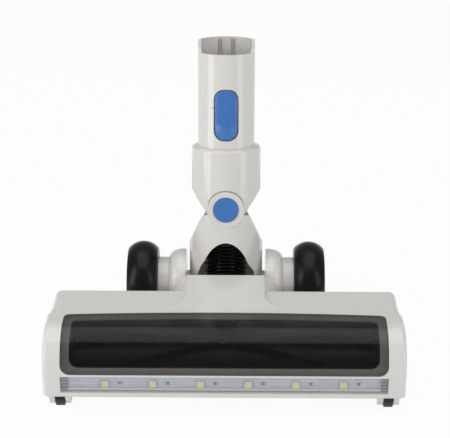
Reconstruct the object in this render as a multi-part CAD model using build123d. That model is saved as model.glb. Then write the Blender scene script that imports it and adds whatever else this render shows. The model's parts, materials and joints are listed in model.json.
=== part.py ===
from build123d import *
import math
import os

os.makedirs("parts", exist_ok=True)

# Motorised floor brush head of a stick vacuum. Millimetres, x to the right, front towards -y, +z up.
# Depths called BACK are measured from the front face of the head, heights from the floor.
# The neck pieces are drawn upright about the tilt axle and then leant back together.

# Driving sizes of the head
HEAD_WIDTH = 259.0
SIDE_STEP = 1.4
STEP_BACK = 43.0
PARTING_Z = 27.6
SOLE_Z = 9.5
SOLE_T = 3.0
SOLE_CHAMFER = 2.2
BAND_R = 28.6
BAND_BACK = 50.0
TOP_SLOPE = 4.0
SHOULDER_DROP = 2.6
SHOULDER_FALL = 1.4
REAR_ROUND = 8.0
END_ROUND = 6.5
BAND_RIM = 3.6
SHELL_T = 2.6
END_WALL = 6.0

# Clearances: pressed in, running, seated, free
PRESS_GAP = 0.02
RUN_GAP = 0.05
SEAT_GAP = 0.15
FREE_GAP = 0.4

# Window in the band
WINDOW_MARGIN = 13.0
WINDOW_T = 2.4
LEDGE_T = 1.6
WINDOW_RISE = 1.6
WINDOW_REAR_LAND = 5.0
WINDOW_BOW = 4.0
WINDOW_LOW_CORNER = 7.0
WINDOW_TOP_CORNER = 4.5
LEDGE_SIDE = 6.2
LEDGE_TOP = 3.2
LEDGE_LOW = 3.4

# Light strip in the front of the base
LENS_MARGIN = 13.0
LENS_LOW_Z = 14.6
LENS_T = 2.0
LENS_FOOT = 0.8
LENS_ROOM = 1.0
BOARD_T = 1.0
BOARD_DROP = 3.0
LIGHT_MARGIN = 31.4
LIGHT_DROP = 1.0
LIGHT_SIZE = 4.8
LIGHT_T = 1.2
LIGHT_COUNT = 6
CHANNEL_WALL = 1.6
RESISTOR_LONG = 2.4
RESISTOR_WIDE = 1.3
RESISTOR_T = 0.6

# Brush roller, its drive and its chamber
BRUSH_R = 20.5
BRUSH_FRONT_GAP = 2.7
FLOOR_CLEAR = 1.0
BRISTLE_LONG = 6.5
SHAFT_R = 3.0
GUARD_DROP = 2.0
GUARD_T = 1.6
BRISTLE_T = 3.0
BRISTLE_ROOT = 0.4
BRISTLE_ROWS = 4
BRISTLE_TWIST = 100.0
BRUSH_PLAY = 1.0
MOUTH_GAP = 1.6
BULKHEAD_T = 2.5
BULKHEAD_DROP = 1.5
LINER_T = 1.6
LINER_CLEAR = 3.5
LINER_TOP_GAP = 1.2
PORT_HALF = 46.0
PORT_HEIGHT = 24.0
PORT_RISE = 2.0
PORT_FLAT = 0.5
BUSH_R = 7.0
BUSH_PLAY = 0.2
COVER_LIP = 5.0
BELT_COVER_LIP = 11.0
BEARING_COVER_LIP = 8.0
PULLEY_R = 7.0
PULLEY_T = 6.0
PULLEY_CLEAR = 0.75
FLANGE_T = 0.7
FLANGE_RISE = 1.2
BELT_T = 1.2
BELT_GAP = 0.3
MOTOR_R = 12.2
MOTOR_LONG = 42.0
MOTOR_FRONT_GAP = 3.4
MOTOR_REAR_GAP = 2.0
MOTOR_TOP_GAP = 1.8
MOTOR_EDGE = 1.0
MOTOR_BOSS_R = 4.0
MOTOR_BOSS_T = 2.5
MOTOR_SHAFT_R = 1.2
MOTOR_SCREW_STEP = 8.5
MOTOR_SCREW_HEAD_R = 2.4
MOTOR_SCREW_HEAD_T = 1.4
DRIVE_RATIO = 1.6

# Front castors
CASTOR_R = 4.8
CASTOR_WIDE = 6.8
CASTOR_INSET = 11.8
CASTOR_BACK = 7.4
CASTOR_EDGE = 0.8
CASTOR_PIN_R = 1.2
LUG_T = 3.9
LUG_LONG = 11.0
LUG_DROP = 1.6

# Tail, rear wheels and tilt axle
TAIL_LONG = 43.0
TAIL_OVERLAP = 8.0
TAIL_CROWN = 2.2
TAIL_SPREAD = 2.1
TAIL_WALL = 3.0
BELLY_T = 1.8
WHEEL_R = 33.0
TREAD_DROP = 5.6
TREAD_EDGE = 1.6
WHEEL_WIDE = 23.4
HUB_R = 21.0
HUB_RIM = 3.0
HUB_DISH = 4.0
HUB_BOSS = 1.5
SIDEWALL_STEP = 2.2
SIDEWALL_GROOVE_R = 0.6
AXLE_R = 4.0
AXLE_CAP_R = 8.0
AXLE_CAP_T = 2.4
AXLE_CAP_EDGE = 1.0
AXLE_CAP_SOCKET = 1.0
NECK_SIDE_PLAY = 2.45
CHEEK_R = 27.3
CHEEK_WIDE = 13.4
CHEEK_LIP = 0.4
BARREL_R = 20.6
BARREL_LONG = 8.4
DECK_NARROW = 0.5
DECK_LONG = 13.5
DECK_RISE = 4.4
DECK_STEP = 0.9
DECK_FLARE_LONG = 18.0
DECK_FLARE_HALF = 61.0
DECK_FLARE_BEND = 4.0
DECK_FLARE_EASE = 3.0
DECK_EDGE = 2.0

# Hose
HOSE_R = 16.8
HOSE_ROOT_R = 15.0
HOSE_BORE_R = 13.2
HOSE_RIDGES = 24
HOSE_Z = 30.0
HOSE_BEND = 45.0
CUFF_T = 0.4
CUFF_LIP = 2.2
CUFF_FLANGE = 2.2
CUFF_LONG = 6.5
CUFF_PLUG = 8.0
CUFF_INSET = 3.0

# Neck, measured along it from the tilt axle, each length from the end of the one before
LEAN = 12.0
PIVOT_A = 66.0
TAPER_RISE = 12.0
COLLAR_LONG = 33.0
SOCKET_SHOWN = 81.0
SEAT_RISE = 1.0
TUBE_FOOT = 14.0
MOUTH_CUT = 9.2
MOUTH_CUT_FRONT = 3.0
MOUTH_CUT_ROUND = 4.5
COLLAR_R = 26.5
COLLAR_T = 2.5
COLLAR_LID = 3.0
COLLAR_ROUND = 2.4
COLLAR_STEP = 4.8
TUBE_T = 2.3
SEAT_LEDGE = 1.8
FLANGE_WALL = 2.3
RIB_T = 2.0
RIB_GAP = 0.1
COLLAR_EAR_R = 14.2
EAR_SINK = 3.8
EAR_T = 3.2
EAR_BACKING = 1.8
SWIVEL = 40.0
NECK_GAP = 0.35
SWIVEL_ROOM = 6.0
YOKE_T = 1.7
YOKE_SHOULDER_A = 39.3
YOKE_CUT_TILT = 14.0
YOKE_EAR_STEP = 0.45
YOKE_EAR_PROUD = 0.4
ARCH_TOP_A = 39.8
ARCH_RISE = 33.4
ARCH_HALF = 22.0
ARCH_CROWN_HALF = 11.6
ARCH_CROWN_DROP = 9.1
ARCH_SIDE_HALF = 20.1
ARCH_SIDE_DROP = 22.2
YOKE_BACK_WALL = 12.0
TRUNNION_R = 10.0
PIN_R = 5.0
PIN_END = 0.6
PIN_HEAD_R = 8.4
PIN_HEAD_T = 1.4
CAP_R = 9.65
CAP_PROUD = 0.9
CAP_EDGE = 0.7
CAP_FLOOR = 2.6

# Release button in the socket tube
BUTTON_WIDE = 18.0
BUTTON_LONG = 38.6
BUTTON_RISE = 7.0
BUTTON_CORNER = 7.4
BUTTON_PROUD = 0.9
BUTTON_LIFT = 0.6
BUTTON_EDGE = 0.6
BUTTON_PIN_R = 0.6
BUTTON_PIN_RISE = 25.0
BUTTON_PIN_BITE = 0.9
SPRING_WIDE = 6.0
SPRING_T = 0.3
SPRING_TAIL = 3.6
SPRING_GAP = 0.1
GROOVE_X = 5.0
GROOVE_WIDE = 3.2
GROOVE_DEEP = 1.0
CONTACT_T = 0.5
CONTACT_LONG = 34.0

# Screws
SCREW_R = 1.5
SCREW_HEAD_R = 3.0
SCREW_HEAD_T = 2.0
SCREW_BITE = 8.0
SCREW_TIP_ROOM = 1.0
SLOT_LONG = 3.6
SLOT_WIDE = 0.7
SLOT_DEEP = 0.85
POST_R = 4.2
SCREW_CLEAR = 12.0
SCREW_REAR = 9.0
TAIL_SCREW_INSET = 8.5
TAIL_SCREW_BACK = 6.5
COLLAR_SCREW_RISE = 10.0
YOKE_SCREW_X = 12.0
YOKE_SCREW_A = 22.0
PAD_T = 2.0

# Derived widths of the head, from the outside to the brush chamber
HEAD_HALF = HEAD_WIDTH / 2
REAR_HALF = HEAD_HALF - SIDE_STEP
INNER_HALF = HEAD_HALF - END_WALL
BULKHEAD_OUT = INNER_HALF - SIDE_STEP - PULLEY_T - 2 * PULLEY_CLEAR
CHAMBER_HALF = BULKHEAD_OUT - BULKHEAD_T
PULLEY_X = BULKHEAD_OUT + PULLEY_CLEAR + PULLEY_T / 2
WINDOW_HALF = HEAD_HALF - WINDOW_MARGIN
LENS_HALF = HEAD_HALF - LENS_MARGIN
CASTOR_X = HEAD_HALF - CASTOR_INSET
LIGHT_PITCH = 2 * (LENS_HALF - LIGHT_MARGIN) / (LIGHT_COUNT - 1)
SCREW_X = CHAMBER_HALF - MOTOR_LONG - SCREW_CLEAR

# Derived depths of the head, from the lens back to the neck
CHANNEL_BACK = LENS_T + LIGHT_T + LENS_ROOM + BOARD_T
CHAMBER_FRONT = CHANNEL_BACK + CHANNEL_WALL
BRUSH_BACK = CHAMBER_FRONT + BRUSH_FRONT_GAP + BRUSH_R
LINER_IN_R = BRUSH_R + LINER_CLEAR
LINER_BACK = BRUSH_BACK + LINER_IN_R
DUCT_FRONT = LINER_BACK + LINER_T
MOTOR_BACK = DUCT_FRONT + MOTOR_FRONT_GAP + MOTOR_R
HEAD_DEPTH = MOTOR_BACK + MOTOR_R + MOTOR_REAR_GAP + SHELL_T
TILT_BACK = HEAD_DEPTH + TAIL_LONG
DECK_BACK = HEAD_DEPTH + DECK_LONG
DECK_FLARE_BACK = HEAD_DEPTH - DECK_FLARE_LONG
WINDOW_BACK = BAND_BACK - WINDOW_REAR_LAND

# Derived heights of the head
FLOOR_Z = SOLE_Z + SOLE_T
SHOULDER_FRONT_Z = PARTING_Z + BAND_R - SHOULDER_DROP
SHOULDER_REAR_Z = SHOULDER_FRONT_Z - SHOULDER_FALL
DECK_REAR_Z = SHOULDER_REAR_Z + DECK_RISE
WINDOW_LOW_Z = PARTING_Z + WINDOW_RISE
LENS_HEIGHT = PARTING_Z - LENS_LOW_Z - FREE_GAP
BOARD_HEIGHT = LENS_HEIGHT - BOARD_DROP
LIGHT_Z = LENS_LOW_Z + LENS_HEIGHT / 2 - LIGHT_DROP
BRUSH_Z = BRUSH_R + FLOOR_CLEAR
MOTOR_Z = SHOULDER_REAR_Z - SHELL_T - MOTOR_TOP_GAP - MOTOR_R
BAND_IN_R = BAND_R - WINDOW_T - LEDGE_T
CORE_R = BRUSH_R - BRISTLE_LONG
GUARD_R = BRUSH_R - GUARD_DROP
MOTOR_PULLEY_R = PULLEY_R / DRIVE_RATIO
CUFF_R = HOSE_R + CUFF_T

# Derived sizes of the neck and the tail that carries it
TAPER_A = PIVOT_A + TAPER_RISE
COLLAR_TOP_A = TAPER_A + COLLAR_LONG
MOUTH_A = COLLAR_TOP_A + SOCKET_SHOWN
SEAT_A = COLLAR_TOP_A + SEAT_RISE
CUFF_TOP_A = SEAT_A - TUBE_FOOT
HOSE_TOP_A = CUFF_TOP_A - CUFF_LONG
TUBE_R = COLLAR_R - COLLAR_STEP
SOCKET_R = TUBE_R - TUBE_T
SEAT_R = SOCKET_R - SEAT_LEDGE
EAR_FACE = COLLAR_R - EAR_SINK
YOKE_IN_R = COLLAR_R + NECK_GAP
YOKE_R = YOKE_IN_R + YOKE_T
YOKE_EAR_R = COLLAR_EAR_R - YOKE_EAR_STEP
YOKE_EAR_FACE = EAR_FACE + NECK_GAP
YOKE_EAR_OUT = YOKE_R + YOKE_EAR_PROUD
YOKE_TOP_A = PIVOT_A + YOKE_EAR_R
BUTTON_LOW_A = COLLAR_TOP_A + BUTTON_RISE
BUTTON_A = BUTTON_LOW_A + BUTTON_LONG / 2
BUTTON_PIN_A = BUTTON_LOW_A + BUTTON_PIN_RISE
BUTTON_IN_R = SOCKET_R + BUTTON_LIFT
THROAT_HALF = YOKE_R + NECK_SIDE_PLAY
THROAT_R = YOKE_R + 2 * FREE_GAP
DECK_HALF = THROAT_HALF - DECK_NARROW
CHEEK_OUT = THROAT_HALF + CHEEK_WIDE
TAIL_HALF = CHEEK_OUT + TAIL_SPREAD
BARREL_OUT = CHEEK_OUT + BARREL_LONG
WHEEL_IN = BARREL_OUT + FREE_GAP
WHEEL_X = WHEEL_IN + WHEEL_WIDE / 2
AXLE_OUT = WHEEL_IN + WHEEL_WIDE
AXLE_IN = ARCH_HALF + 2 * FREE_GAP

# Places in the part's own frame
LEAN_RAD = math.radians(LEAN)
DEPTH = TILT_BACK + MOUTH_A * math.sin(LEAN_RAD) + TUBE_R * math.cos(LEAN_RAD)
FRONT = -DEPTH / 2
BAND_Y = FRONT + BAND_R
BRUSH_Y = FRONT + BRUSH_BACK
MOTOR_Y = FRONT + MOTOR_BACK
REAR_Y = FRONT + HEAD_DEPTH
REAR_WALL_Y = REAR_Y - SHELL_T
TILT_Y = FRONT + TILT_BACK
TILT_Z = WHEEL_R
NECK = Location((0, TILT_Y, TILT_Z), (-LEAN, 0, 0))


def save(name, part):
    export_step(part, "parts/" + name + ".step")


def block(x0, x1, y0, y1, z0, z1):
    # A box between two corners
    size = Box(abs(x1 - x0), y1 - y0, z1 - z0)
    return Pos((x0 + x1) / 2, (y0 + y1) / 2, (z0 + z1) / 2) * size


def rod(radius, x0, x1, y, z):
    # A round bar along x
    bar = Cylinder(radius, abs(x1 - x0), rotation=(0, 90, 0))
    return Pos((x0 + x1) / 2, y, z) * bar


def post(radius, x, y, z0, z1):
    # A round bar along z
    return Pos(x, y, (z0 + z1) / 2) * Cylinder(radius, z1 - z0)


def across(face, half):
    # A side view in y and z, extruded to both sides of the middle
    return extrude(Plane.YZ * face, amount=half, both=True)


def pair(part):
    # A piece on the right and its mirror image on the left, as one shape
    return part + mirror(part, about=Plane.YZ)


def half_edges(part, low, high):
    # Edges lying in the two end planes of an extruded side view, between two heights
    box = part.bounding_box()
    found = []
    for edge in part.edges():
        middle = edge.center()
        at_end = abs(abs(middle.X) - box.max.X) < PRESS_GAP
        if at_end and low < middle.Z < high:
            found.append(edge)
    return found


def band_face(radius, back):
    # Side view of the rounded front of the head above the parting line
    arc = CenterArc((BAND_Y, PARTING_Z), radius, 180, -90 - TOP_SLOPE)
    end = arc @ 1
    rear = FRONT + back
    fall = (rear - end.X) * math.tan(math.radians(TOP_SLOPE))
    rest = Polyline(end, (rear, end.Y - fall), (rear, PARTING_Z), arc @ 0)
    return make_face(arc + rest)


def shoulder_face(inset):
    # Side view of the lower rear part of the head above the parting line
    front = FRONT + BAND_BACK - SIDE_STEP
    rear = REAR_Y - inset
    top_front = (front, SHOULDER_FRONT_Z - inset)
    top_rear = (rear, SHOULDER_REAR_Z - inset)
    outline = Polyline((front, PARTING_Z), top_front, top_rear, (rear, PARTING_Z), close=True)
    return make_face(outline)


def skin_corners(part, thick, upper):
    # Short edges through the thickness of a piece of skin, at its upper or lower corners
    middle = PARTING_Z + BAND_R / 2
    ends = [e for e in half_edges(part, 0, PARTING_Z + 2 * BAND_R) if e.length < 1.6 * thick]
    return [e for e in ends if (e.center().Z > middle) == upper]


def window_blank(inset, inner_r, outer_r, side, low, back):
    # A piece of the band's skin between two radii, with rounded corners and a bowed rear edge
    skin = band_face(outer_r, BAND_BACK) - band_face(inner_r, BAND_BACK)
    part = across(skin, side - inset)
    rear = FRONT + back - inset
    bow_r = (side ** 2 + WINDOW_BOW ** 2) / (2 * WINDOW_BOW)
    high = PARTING_Z + 2 * BAND_R
    above = block(-side, side, FRONT - BAND_R, FRONT + BAND_BACK, low + inset, high)
    bow = post(bow_r, 0, rear - bow_r, PARTING_Z - BAND_R, high)
    part = part & above & bow
    part = fillet(skin_corners(part, outer_r - inner_r, False), WINDOW_LOW_CORNER)
    return fillet(skin_corners(part, outer_r - inner_r, True), WINDOW_TOP_CORNER)


def window():
    inner_r = BAND_R - WINDOW_T + SEAT_GAP
    return window_blank(SEAT_GAP, inner_r, BAND_R, WINDOW_HALF, WINDOW_LOW_Z, WINDOW_BACK)


def tail_section(high):
    # Cross-section of the tail above the parting line: narrow deck on top, sides sloping outwards
    outline = Polyline(
        (-TAIL_HALF, PARTING_Z),
        (-DECK_HALF, high),
        (DECK_HALF, high),
        (TAIL_HALF, PARTING_Z),
        close=True,
    )
    return make_face(outline)


def deck():
    # Raised tongue that runs from the band back to the neck, flaring out to the front
    rear = FRONT + DECK_BACK
    flare = FRONT + DECK_FLARE_BACK
    front = FRONT + BAND_BACK - SIDE_STEP
    bend = (DECK_HALF + DECK_FLARE_BEND, front + DECK_FLARE_EASE)
    right = Bezier((DECK_HALF, flare), bend, (DECK_FLARE_HALF, front))
    left = mirror(right, about=Plane.YZ)
    back = Polyline((-DECK_HALF, flare), (-DECK_HALF, rear), (DECK_HALF, rear), (DECK_HALF, flare))
    nose = Line((DECK_FLARE_HALF, front), (-DECK_FLARE_HALF, front))
    plan = make_face(left + back + right + nose)
    tongue = extrude(Plane.XY.offset(PARTING_Z) * plan, amount=DECK_REAR_Z)
    low = SHOULDER_FRONT_Z + DECK_STEP
    side = Polyline((front, PARTING_Z), (front, low), (rear, DECK_REAR_Z), (rear, PARTING_Z), close=True)
    tongue = tongue & across(make_face(side), HEAD_HALF)
    top = tongue.faces().sort_by(Axis.Z)[-1]
    rim = [e for e in top.edges() if e.center().Y > front + DECK_EDGE / 2]
    return fillet(rim, DECK_EDGE)


def cheek():
    # Round cheek beside the neck with the barrel that carries the wheel, turned about the axle
    arc = EllipticalCenterArc(
        (THROAT_HALF + DECK_EDGE, BARREL_R),
        CHEEK_WIDE - DECK_EDGE,
        CHEEK_R - BARREL_R,
        start_angle=0,
        arc_size=90,
    )
    rest = Polyline(
        arc @ 1,
        (THROAT_HALF, CHEEK_R - CHEEK_LIP),
        (THROAT_HALF, 0),
        (BARREL_OUT, 0),
        (BARREL_OUT, BARREL_R),
        arc @ 0,
    )
    return at_axle(make_face(arc + rest))


def throat():
    # Room between the cheeks for the neck to swing in
    end = TILT_Y + 2 * CHEEK_R
    low = rod(THROAT_R, -THROAT_HALF, THROAT_HALF, TILT_Y, TILT_Z)
    high = block(-THROAT_HALF, THROAT_HALF, FRONT + DECK_BACK, end, TILT_Z, 4 * WHEEL_R)
    rear = block(-THROAT_HALF, THROAT_HALF, TILT_Y, end, 0, TILT_Z)
    return low + high + rear


def hose_way():
    # Passage for the hose through the rear wall and under the deck
    rear = FRONT + DECK_BACK + 4 * SHELL_T
    half = THROAT_HALF - TAIL_WALL
    wall = Cylinder(CUFF_R + SEAT_GAP, 4 * SHELL_T, rotation=(90, 0, 0))
    wall = Pos(0, REAR_WALL_Y, HOSE_Z) * wall
    roof = SHOULDER_REAR_Z - BELLY_T
    return wall + block(-half, half, REAR_Y - SHELL_T / 10, rear, FLOOR_Z, roof)


def head_screws():
    # Where the screws in the head join the base to the top
    return [(SCREW_X, REAR_Y - SCREW_REAR)]


def tail_screws():
    # Where the screws in the tail join the base to the top
    return [(TAIL_HALF - TAIL_SCREW_INSET, REAR_Y + TAIL_SCREW_BACK)]


def top_housing():
    above = PARTING_Z + SEAT_GAP
    high = PARTING_Z + 2 * BAND_R
    band = Part()
    for back, half in ((STEP_BACK, HEAD_HALF), (BAND_BACK, REAR_HALF)):
        piece = across(band_face(BAND_R, back), half)
        rims = [e for e in half_edges(piece, above, high) if e.center().Y < FRONT + back - SEAT_GAP]
        band = band + fillet(rims, BAND_RIM)
    rear = across(shoulder_face(0), REAR_HALF)
    back_edge = rear.edges().filter_by(Axis.X).group_by(Axis.Z)[-2:]
    back_edge = [e for group in back_edge for e in group if e.center().Y > FRONT + BAND_BACK]
    rear = fillet(back_edge, REAR_ROUND)
    rims = [e for e in half_edges(rear, above, high) if e.center().Y > FRONT + BAND_BACK - SIDE_STEP / 3]
    rear = fillet(rims, END_ROUND - SIDE_STEP)
    section = Plane.XZ.offset(TAIL_OVERLAP - REAR_Y) * tail_section(SHOULDER_REAR_Z + TAIL_CROWN)
    tail = extrude(section, amount=-(TAIL_LONG + TAIL_OVERLAP))
    body = band + rear + deck() + tail + pair(cheek())
    hollow = across(band_face(BAND_IN_R, BAND_BACK), INNER_HALF)
    hollow = hollow + across(shoulder_face(SHELL_T), INNER_HALF - SIDE_STEP)
    body = body - hollow - throat() - hose_way()
    opening = window_blank(0, BAND_R - WINDOW_T, BAND_R + WINDOW_T, WINDOW_HALF, WINDOW_LOW_Z, WINDOW_BACK)
    side = WINDOW_HALF - LEDGE_SIDE
    low = WINDOW_LOW_Z + LEDGE_LOW
    sight = window_blank(0, BAND_IN_R - LEDGE_T / 3, BAND_R - LEDGE_T / 3, side, low, WINDOW_BACK - LEDGE_TOP)
    body = body - opening - sight
    for x, y in head_screws():
        body = body + pair(post(POST_R, x, y, PARTING_Z, SHOULDER_REAR_Z - SHELL_T / 2))
    for x, y in head_screws() + tail_screws():
        pilot = post(SCREW_R, x, y, PARTING_Z - SCREW_TIP_ROOM, PARTING_Z + SCREW_BITE + SCREW_TIP_ROOM)
        body = body - pair(pilot)
    return body - rod(AXLE_R, -HEAD_HALF, HEAD_HALF, TILT_Y, TILT_Z)


def base_outline():
    # Plan of the head and the tail below the parting line
    band = block(-HEAD_HALF, HEAD_HALF, FRONT, FRONT + STEP_BACK, SOLE_Z, PARTING_Z)
    band = fillet(band.edges().filter_by(Axis.Z).group_by(Axis.Y)[0], BAND_RIM)
    rear = block(-REAR_HALF, REAR_HALF, FRONT + STEP_BACK - SIDE_STEP, REAR_Y, SOLE_Z, PARTING_Z)
    rear = fillet(rear.edges().filter_by(Axis.Z).group_by(Axis.Y)[-1], END_ROUND - SIDE_STEP)
    end = TILT_Y - CHEEK_R - FREE_GAP
    tail = block(-TAIL_HALF, TAIL_HALF, REAR_Y - TAIL_OVERLAP, end, SOLE_Z, PARTING_Z)
    body = band + rear + tail
    low_edges = [e for e in body.edges() if e.center().Z < SOLE_Z + PRESS_GAP]
    ends = [e for e in low_edges if e.center().Y < FRONT + STEP_BACK - SIDE_STEP]
    return chamfer(ends, SOLE_CHAMFER)


def bulkhead(side, back, top):
    # Upright wall at the end of the brush chamber that carries the roller, and on the left the motor
    x0 = side * CHAMBER_HALF
    x1 = side * BULKHEAD_OUT
    low = block(x0, x1, FRONT + CHAMBER_FRONT, FRONT + back, SOLE_Z + SOLE_T / 3, PARTING_Z)
    face = band_face(BAND_IN_R - SEAT_GAP, BAND_BACK)
    wall = low + extrude(Plane.YZ.offset(min(x0, x1)) * face, amount=BULKHEAD_T)
    if back > BAND_BACK:
        wall = wall + block(x0, x1, FRONT + BAND_BACK - SHELL_T, FRONT + back, PARTING_Z, top)
    over = side * BULKHEAD_T
    slot = rod(BUSH_R, x0 - over, x1 + over, BRUSH_Y, BRUSH_Z)
    gate = block(x0 - over, x1 + over, BRUSH_Y - BUSH_R, BRUSH_Y + BUSH_R, 0, BRUSH_Z)
    return wall - slot - gate


def cover_box(side, back, grow):
    # Footprint of the plate under one end of the roller
    x0 = side * (CHAMBER_HALF + grow)
    x1 = side * (INNER_HALF - grow)
    y0 = BRUSH_Y - BUSH_R - COVER_LIP + grow
    return block(x0, x1, y0, FRONT + back - grow, SOLE_Z - SOLE_T, FLOOR_Z + PRESS_GAP)


BELT_COVER_BACK = MOTOR_BACK + BELT_COVER_LIP
BEARING_COVER_BACK = BRUSH_BACK + BUSH_R + BEARING_COVER_LIP


def base_plate():
    body = base_outline()
    above = PARTING_Z + SOLE_T
    rear_x = INNER_HALF - SIDE_STEP
    hollow = block(-INNER_HALF, INNER_HALF, FRONT + CHAMBER_FRONT, FRONT + BAND_BACK, FLOOR_Z, above)
    hollow = hollow + block(-rear_x, rear_x, FRONT + BAND_BACK - SIDE_STEP, REAR_WALL_Y, FLOOR_Z, above)
    channel = LENS_HALF + SEAT_GAP
    front = FRONT - LENS_T
    body = body - hollow
    body = body - block(-channel, channel, front, FRONT + CHANNEL_BACK, LENS_LOW_Z - SEAT_GAP, above)
    reach = BRUSH_R ** 2 - (BRUSH_Z - FLOOR_Z) ** 2
    half = math.sqrt(reach) + MOUTH_GAP
    mouth = block(-CHAMBER_HALF, CHAMBER_HALF, BRUSH_Y - half, BRUSH_Y + half, 0, FLOOR_Z + SOLE_T)
    body = body - mouth - throat() - hose_way()
    body = body + bulkhead(-1, MOTOR_BACK + MOTOR_R, MOTOR_Z + MOTOR_R - BULKHEAD_DROP)
    body = body + bulkhead(1, BAND_BACK - MOTOR_REAR_GAP, 0)
    x0 = -BULKHEAD_OUT - BULKHEAD_T
    x1 = -CHAMBER_HALF + BULKHEAD_T
    body = body - rod(MOTOR_BOSS_R + SEAT_GAP, x0, x1, MOTOR_Y, MOTOR_Z)
    for step in (-MOTOR_SCREW_STEP, MOTOR_SCREW_STEP):
        body = body - rod(SCREW_R, x0, x1, MOTOR_Y + step, MOTOR_Z)
    body = body - cover_box(-1, BELT_COVER_BACK, 0) - cover_box(1, BEARING_COVER_BACK, 0)
    for x, y in head_screws():
        body = body + pair(post(POST_R, x, y, FLOOR_Z - SOLE_T / 3, PARTING_Z))
    for x, y in head_screws() + tail_screws():
        hole = post(SCREW_R, x, y, 0, PARTING_Z + SCREW_TIP_ROOM)
        sink = post(SCREW_HEAD_R + SEAT_GAP, x, y, 0, SOLE_Z + SCREW_HEAD_T + SEAT_GAP)
        body = body - pair(hole) - pair(sink)
    return castor_mounts(body)


def castor_mounts(body):
    # Two lugs and a well in the sole for each castor
    y = FRONT + CASTOR_BACK
    inner = CASTOR_X - CASTOR_WIDE / 2 - FREE_GAP
    outer = CASTOR_X + CASTOR_WIDE / 2 + FREE_GAP
    tip = Pos(y, CASTOR_R) * Circle(CASTOR_R - LUG_DROP)
    root = Pos(y, SOLE_Z + SOLE_T / 6) * Rectangle(LUG_LONG, SOLE_T / 3)
    lug_face = make_hull(tip.edges() + root.edges())
    for x in (inner - LUG_T, outer):
        lug = extrude(Plane.YZ.offset(x) * lug_face, amount=LUG_T)
        body = body + pair(lug)
    well = rod(CASTOR_R + FREE_GAP, inner, outer, y, CASTOR_R)
    pin = rod(CASTOR_PIN_R, inner - 2 * LUG_T, outer + 2 * LUG_T, y, CASTOR_R)
    return body - pair(well) - pair(pin)


def cover(side, back):
    # Plate that closes the sole under one end of the roller and holds its bush up in the slot
    plate = cover_box(side, back, SEAT_GAP)
    plate = plate & block(-HEAD_HALF, HEAD_HALF, FRONT, TILT_Y, SOLE_Z, FLOOR_Z)
    x0 = side * (CHAMBER_HALF + SEAT_GAP)
    x1 = side * BULKHEAD_OUT
    half = BUSH_R - SEAT_GAP
    tongue = block(x0, x1, BRUSH_Y - half, BRUSH_Y + half, FLOOR_Z - SOLE_T / 3, BRUSH_Z)
    over = side * BULKHEAD_T
    return plate + (tongue - rod(BUSH_R, x0 - over, x1 + over, BRUSH_Y, BRUSH_Z))


def cross_slot():
    # Cross recess of a screw head, in plan
    return Rectangle(SLOT_LONG, SLOT_WIDE) + Rectangle(SLOT_WIDE, SLOT_LONG)


def base_screws():
    screws = []
    low = SOLE_Z + SEAT_GAP
    for x, y in head_screws() + tail_screws():
        for side in (-1, 1):
            head = post(SCREW_HEAD_R, side * x, y, low, SOLE_Z + SCREW_HEAD_T)
            shank = post(SCREW_R - PRESS_GAP, side * x, y, low + SLOT_DEEP, PARTING_Z + SCREW_BITE)
            slot = extrude(Pos(side * x, y, low) * cross_slot(), amount=SLOT_DEEP)
            screws.append(head + shank - slot)
    return Compound(children=screws)


def led_lens():
    # Clear bar with a foot that stands in the channel under the board
    x = LENS_HALF - SEAT_GAP
    high = LENS_LOW_Z + LENS_HEIGHT - SEAT_GAP
    bar = block(-x, x, FRONT + SEAT_GAP, FRONT + LENS_T, LENS_LOW_Z, high)
    foot_y = FRONT + LENS_T / 2
    foot = block(-x, x, foot_y, FRONT + CHANNEL_BACK - SEAT_GAP, LENS_LOW_Z, LENS_LOW_Z + LENS_FOOT)
    return bar + foot


def led_board():
    x = LENS_HALF - 2 * SEAT_GAP
    z0 = LENS_LOW_Z + LENS_FOOT + SEAT_GAP
    return block(-x, x, board_front(), board_front() + BOARD_T, z0, z0 + BOARD_HEIGHT)


def light_xs():
    first = -(LIGHT_COUNT - 1) / 2 * LIGHT_PITCH
    return [first + i * LIGHT_PITCH for i in range(LIGHT_COUNT)]


def board_front():
    return FRONT + CHANNEL_BACK - SEAT_GAP - BOARD_T


def led_chips():
    half = LIGHT_SIZE / 2
    y = board_front()
    chips = []
    for x in light_xs():
        chips.append(block(x - half, x + half, y - LIGHT_T, y, LIGHT_Z - half, LIGHT_Z + half))
    return Compound(children=chips)


def led_resistors():
    y = board_front()
    chips = []
    for x in light_xs():
        x0 = x + 2 * LIGHT_SIZE
        chips.append(block(x0, x0 + RESISTOR_LONG, y - RESISTOR_T, y, LIGHT_Z, LIGHT_Z + RESISTOR_WIDE))
    return Compound(children=chips)


def chamber_liner():
    # Wall behind the roller, with an arched suction port in the middle
    top = SHOULDER_FRONT_Z - SHELL_T - LINER_TOP_GAP
    low = FLOOR_Z + SEAT_GAP
    low_angle = -math.degrees(math.asin((BRUSH_Z - low) / LINER_IN_R))
    inner = CenterArc((BRUSH_Y, BRUSH_Z), LINER_IN_R, low_angle, -low_angle)
    outer = CenterArc((BRUSH_Y, BRUSH_Z), LINER_IN_R + LINER_T, 0, low_angle)
    up = Polyline(inner @ 1, ((inner @ 1).X, top), ((outer @ 0).X, top), outer @ 0)
    foot = Line(outer @ 1, inner @ 0)
    wall = across(make_face(inner + up + outer + foot), CHAMBER_HALF - SEAT_GAP)
    wall = wall & block(-HEAD_HALF, HEAD_HALF, FRONT, TILT_Y, low, top)
    return wall - extrude(port_plane(LINER_BACK - 2 * LINER_T) * port(0), amount=-5 * LINER_T)


def port_plane(back):
    return Plane.XZ.offset(-FRONT - back)


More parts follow.
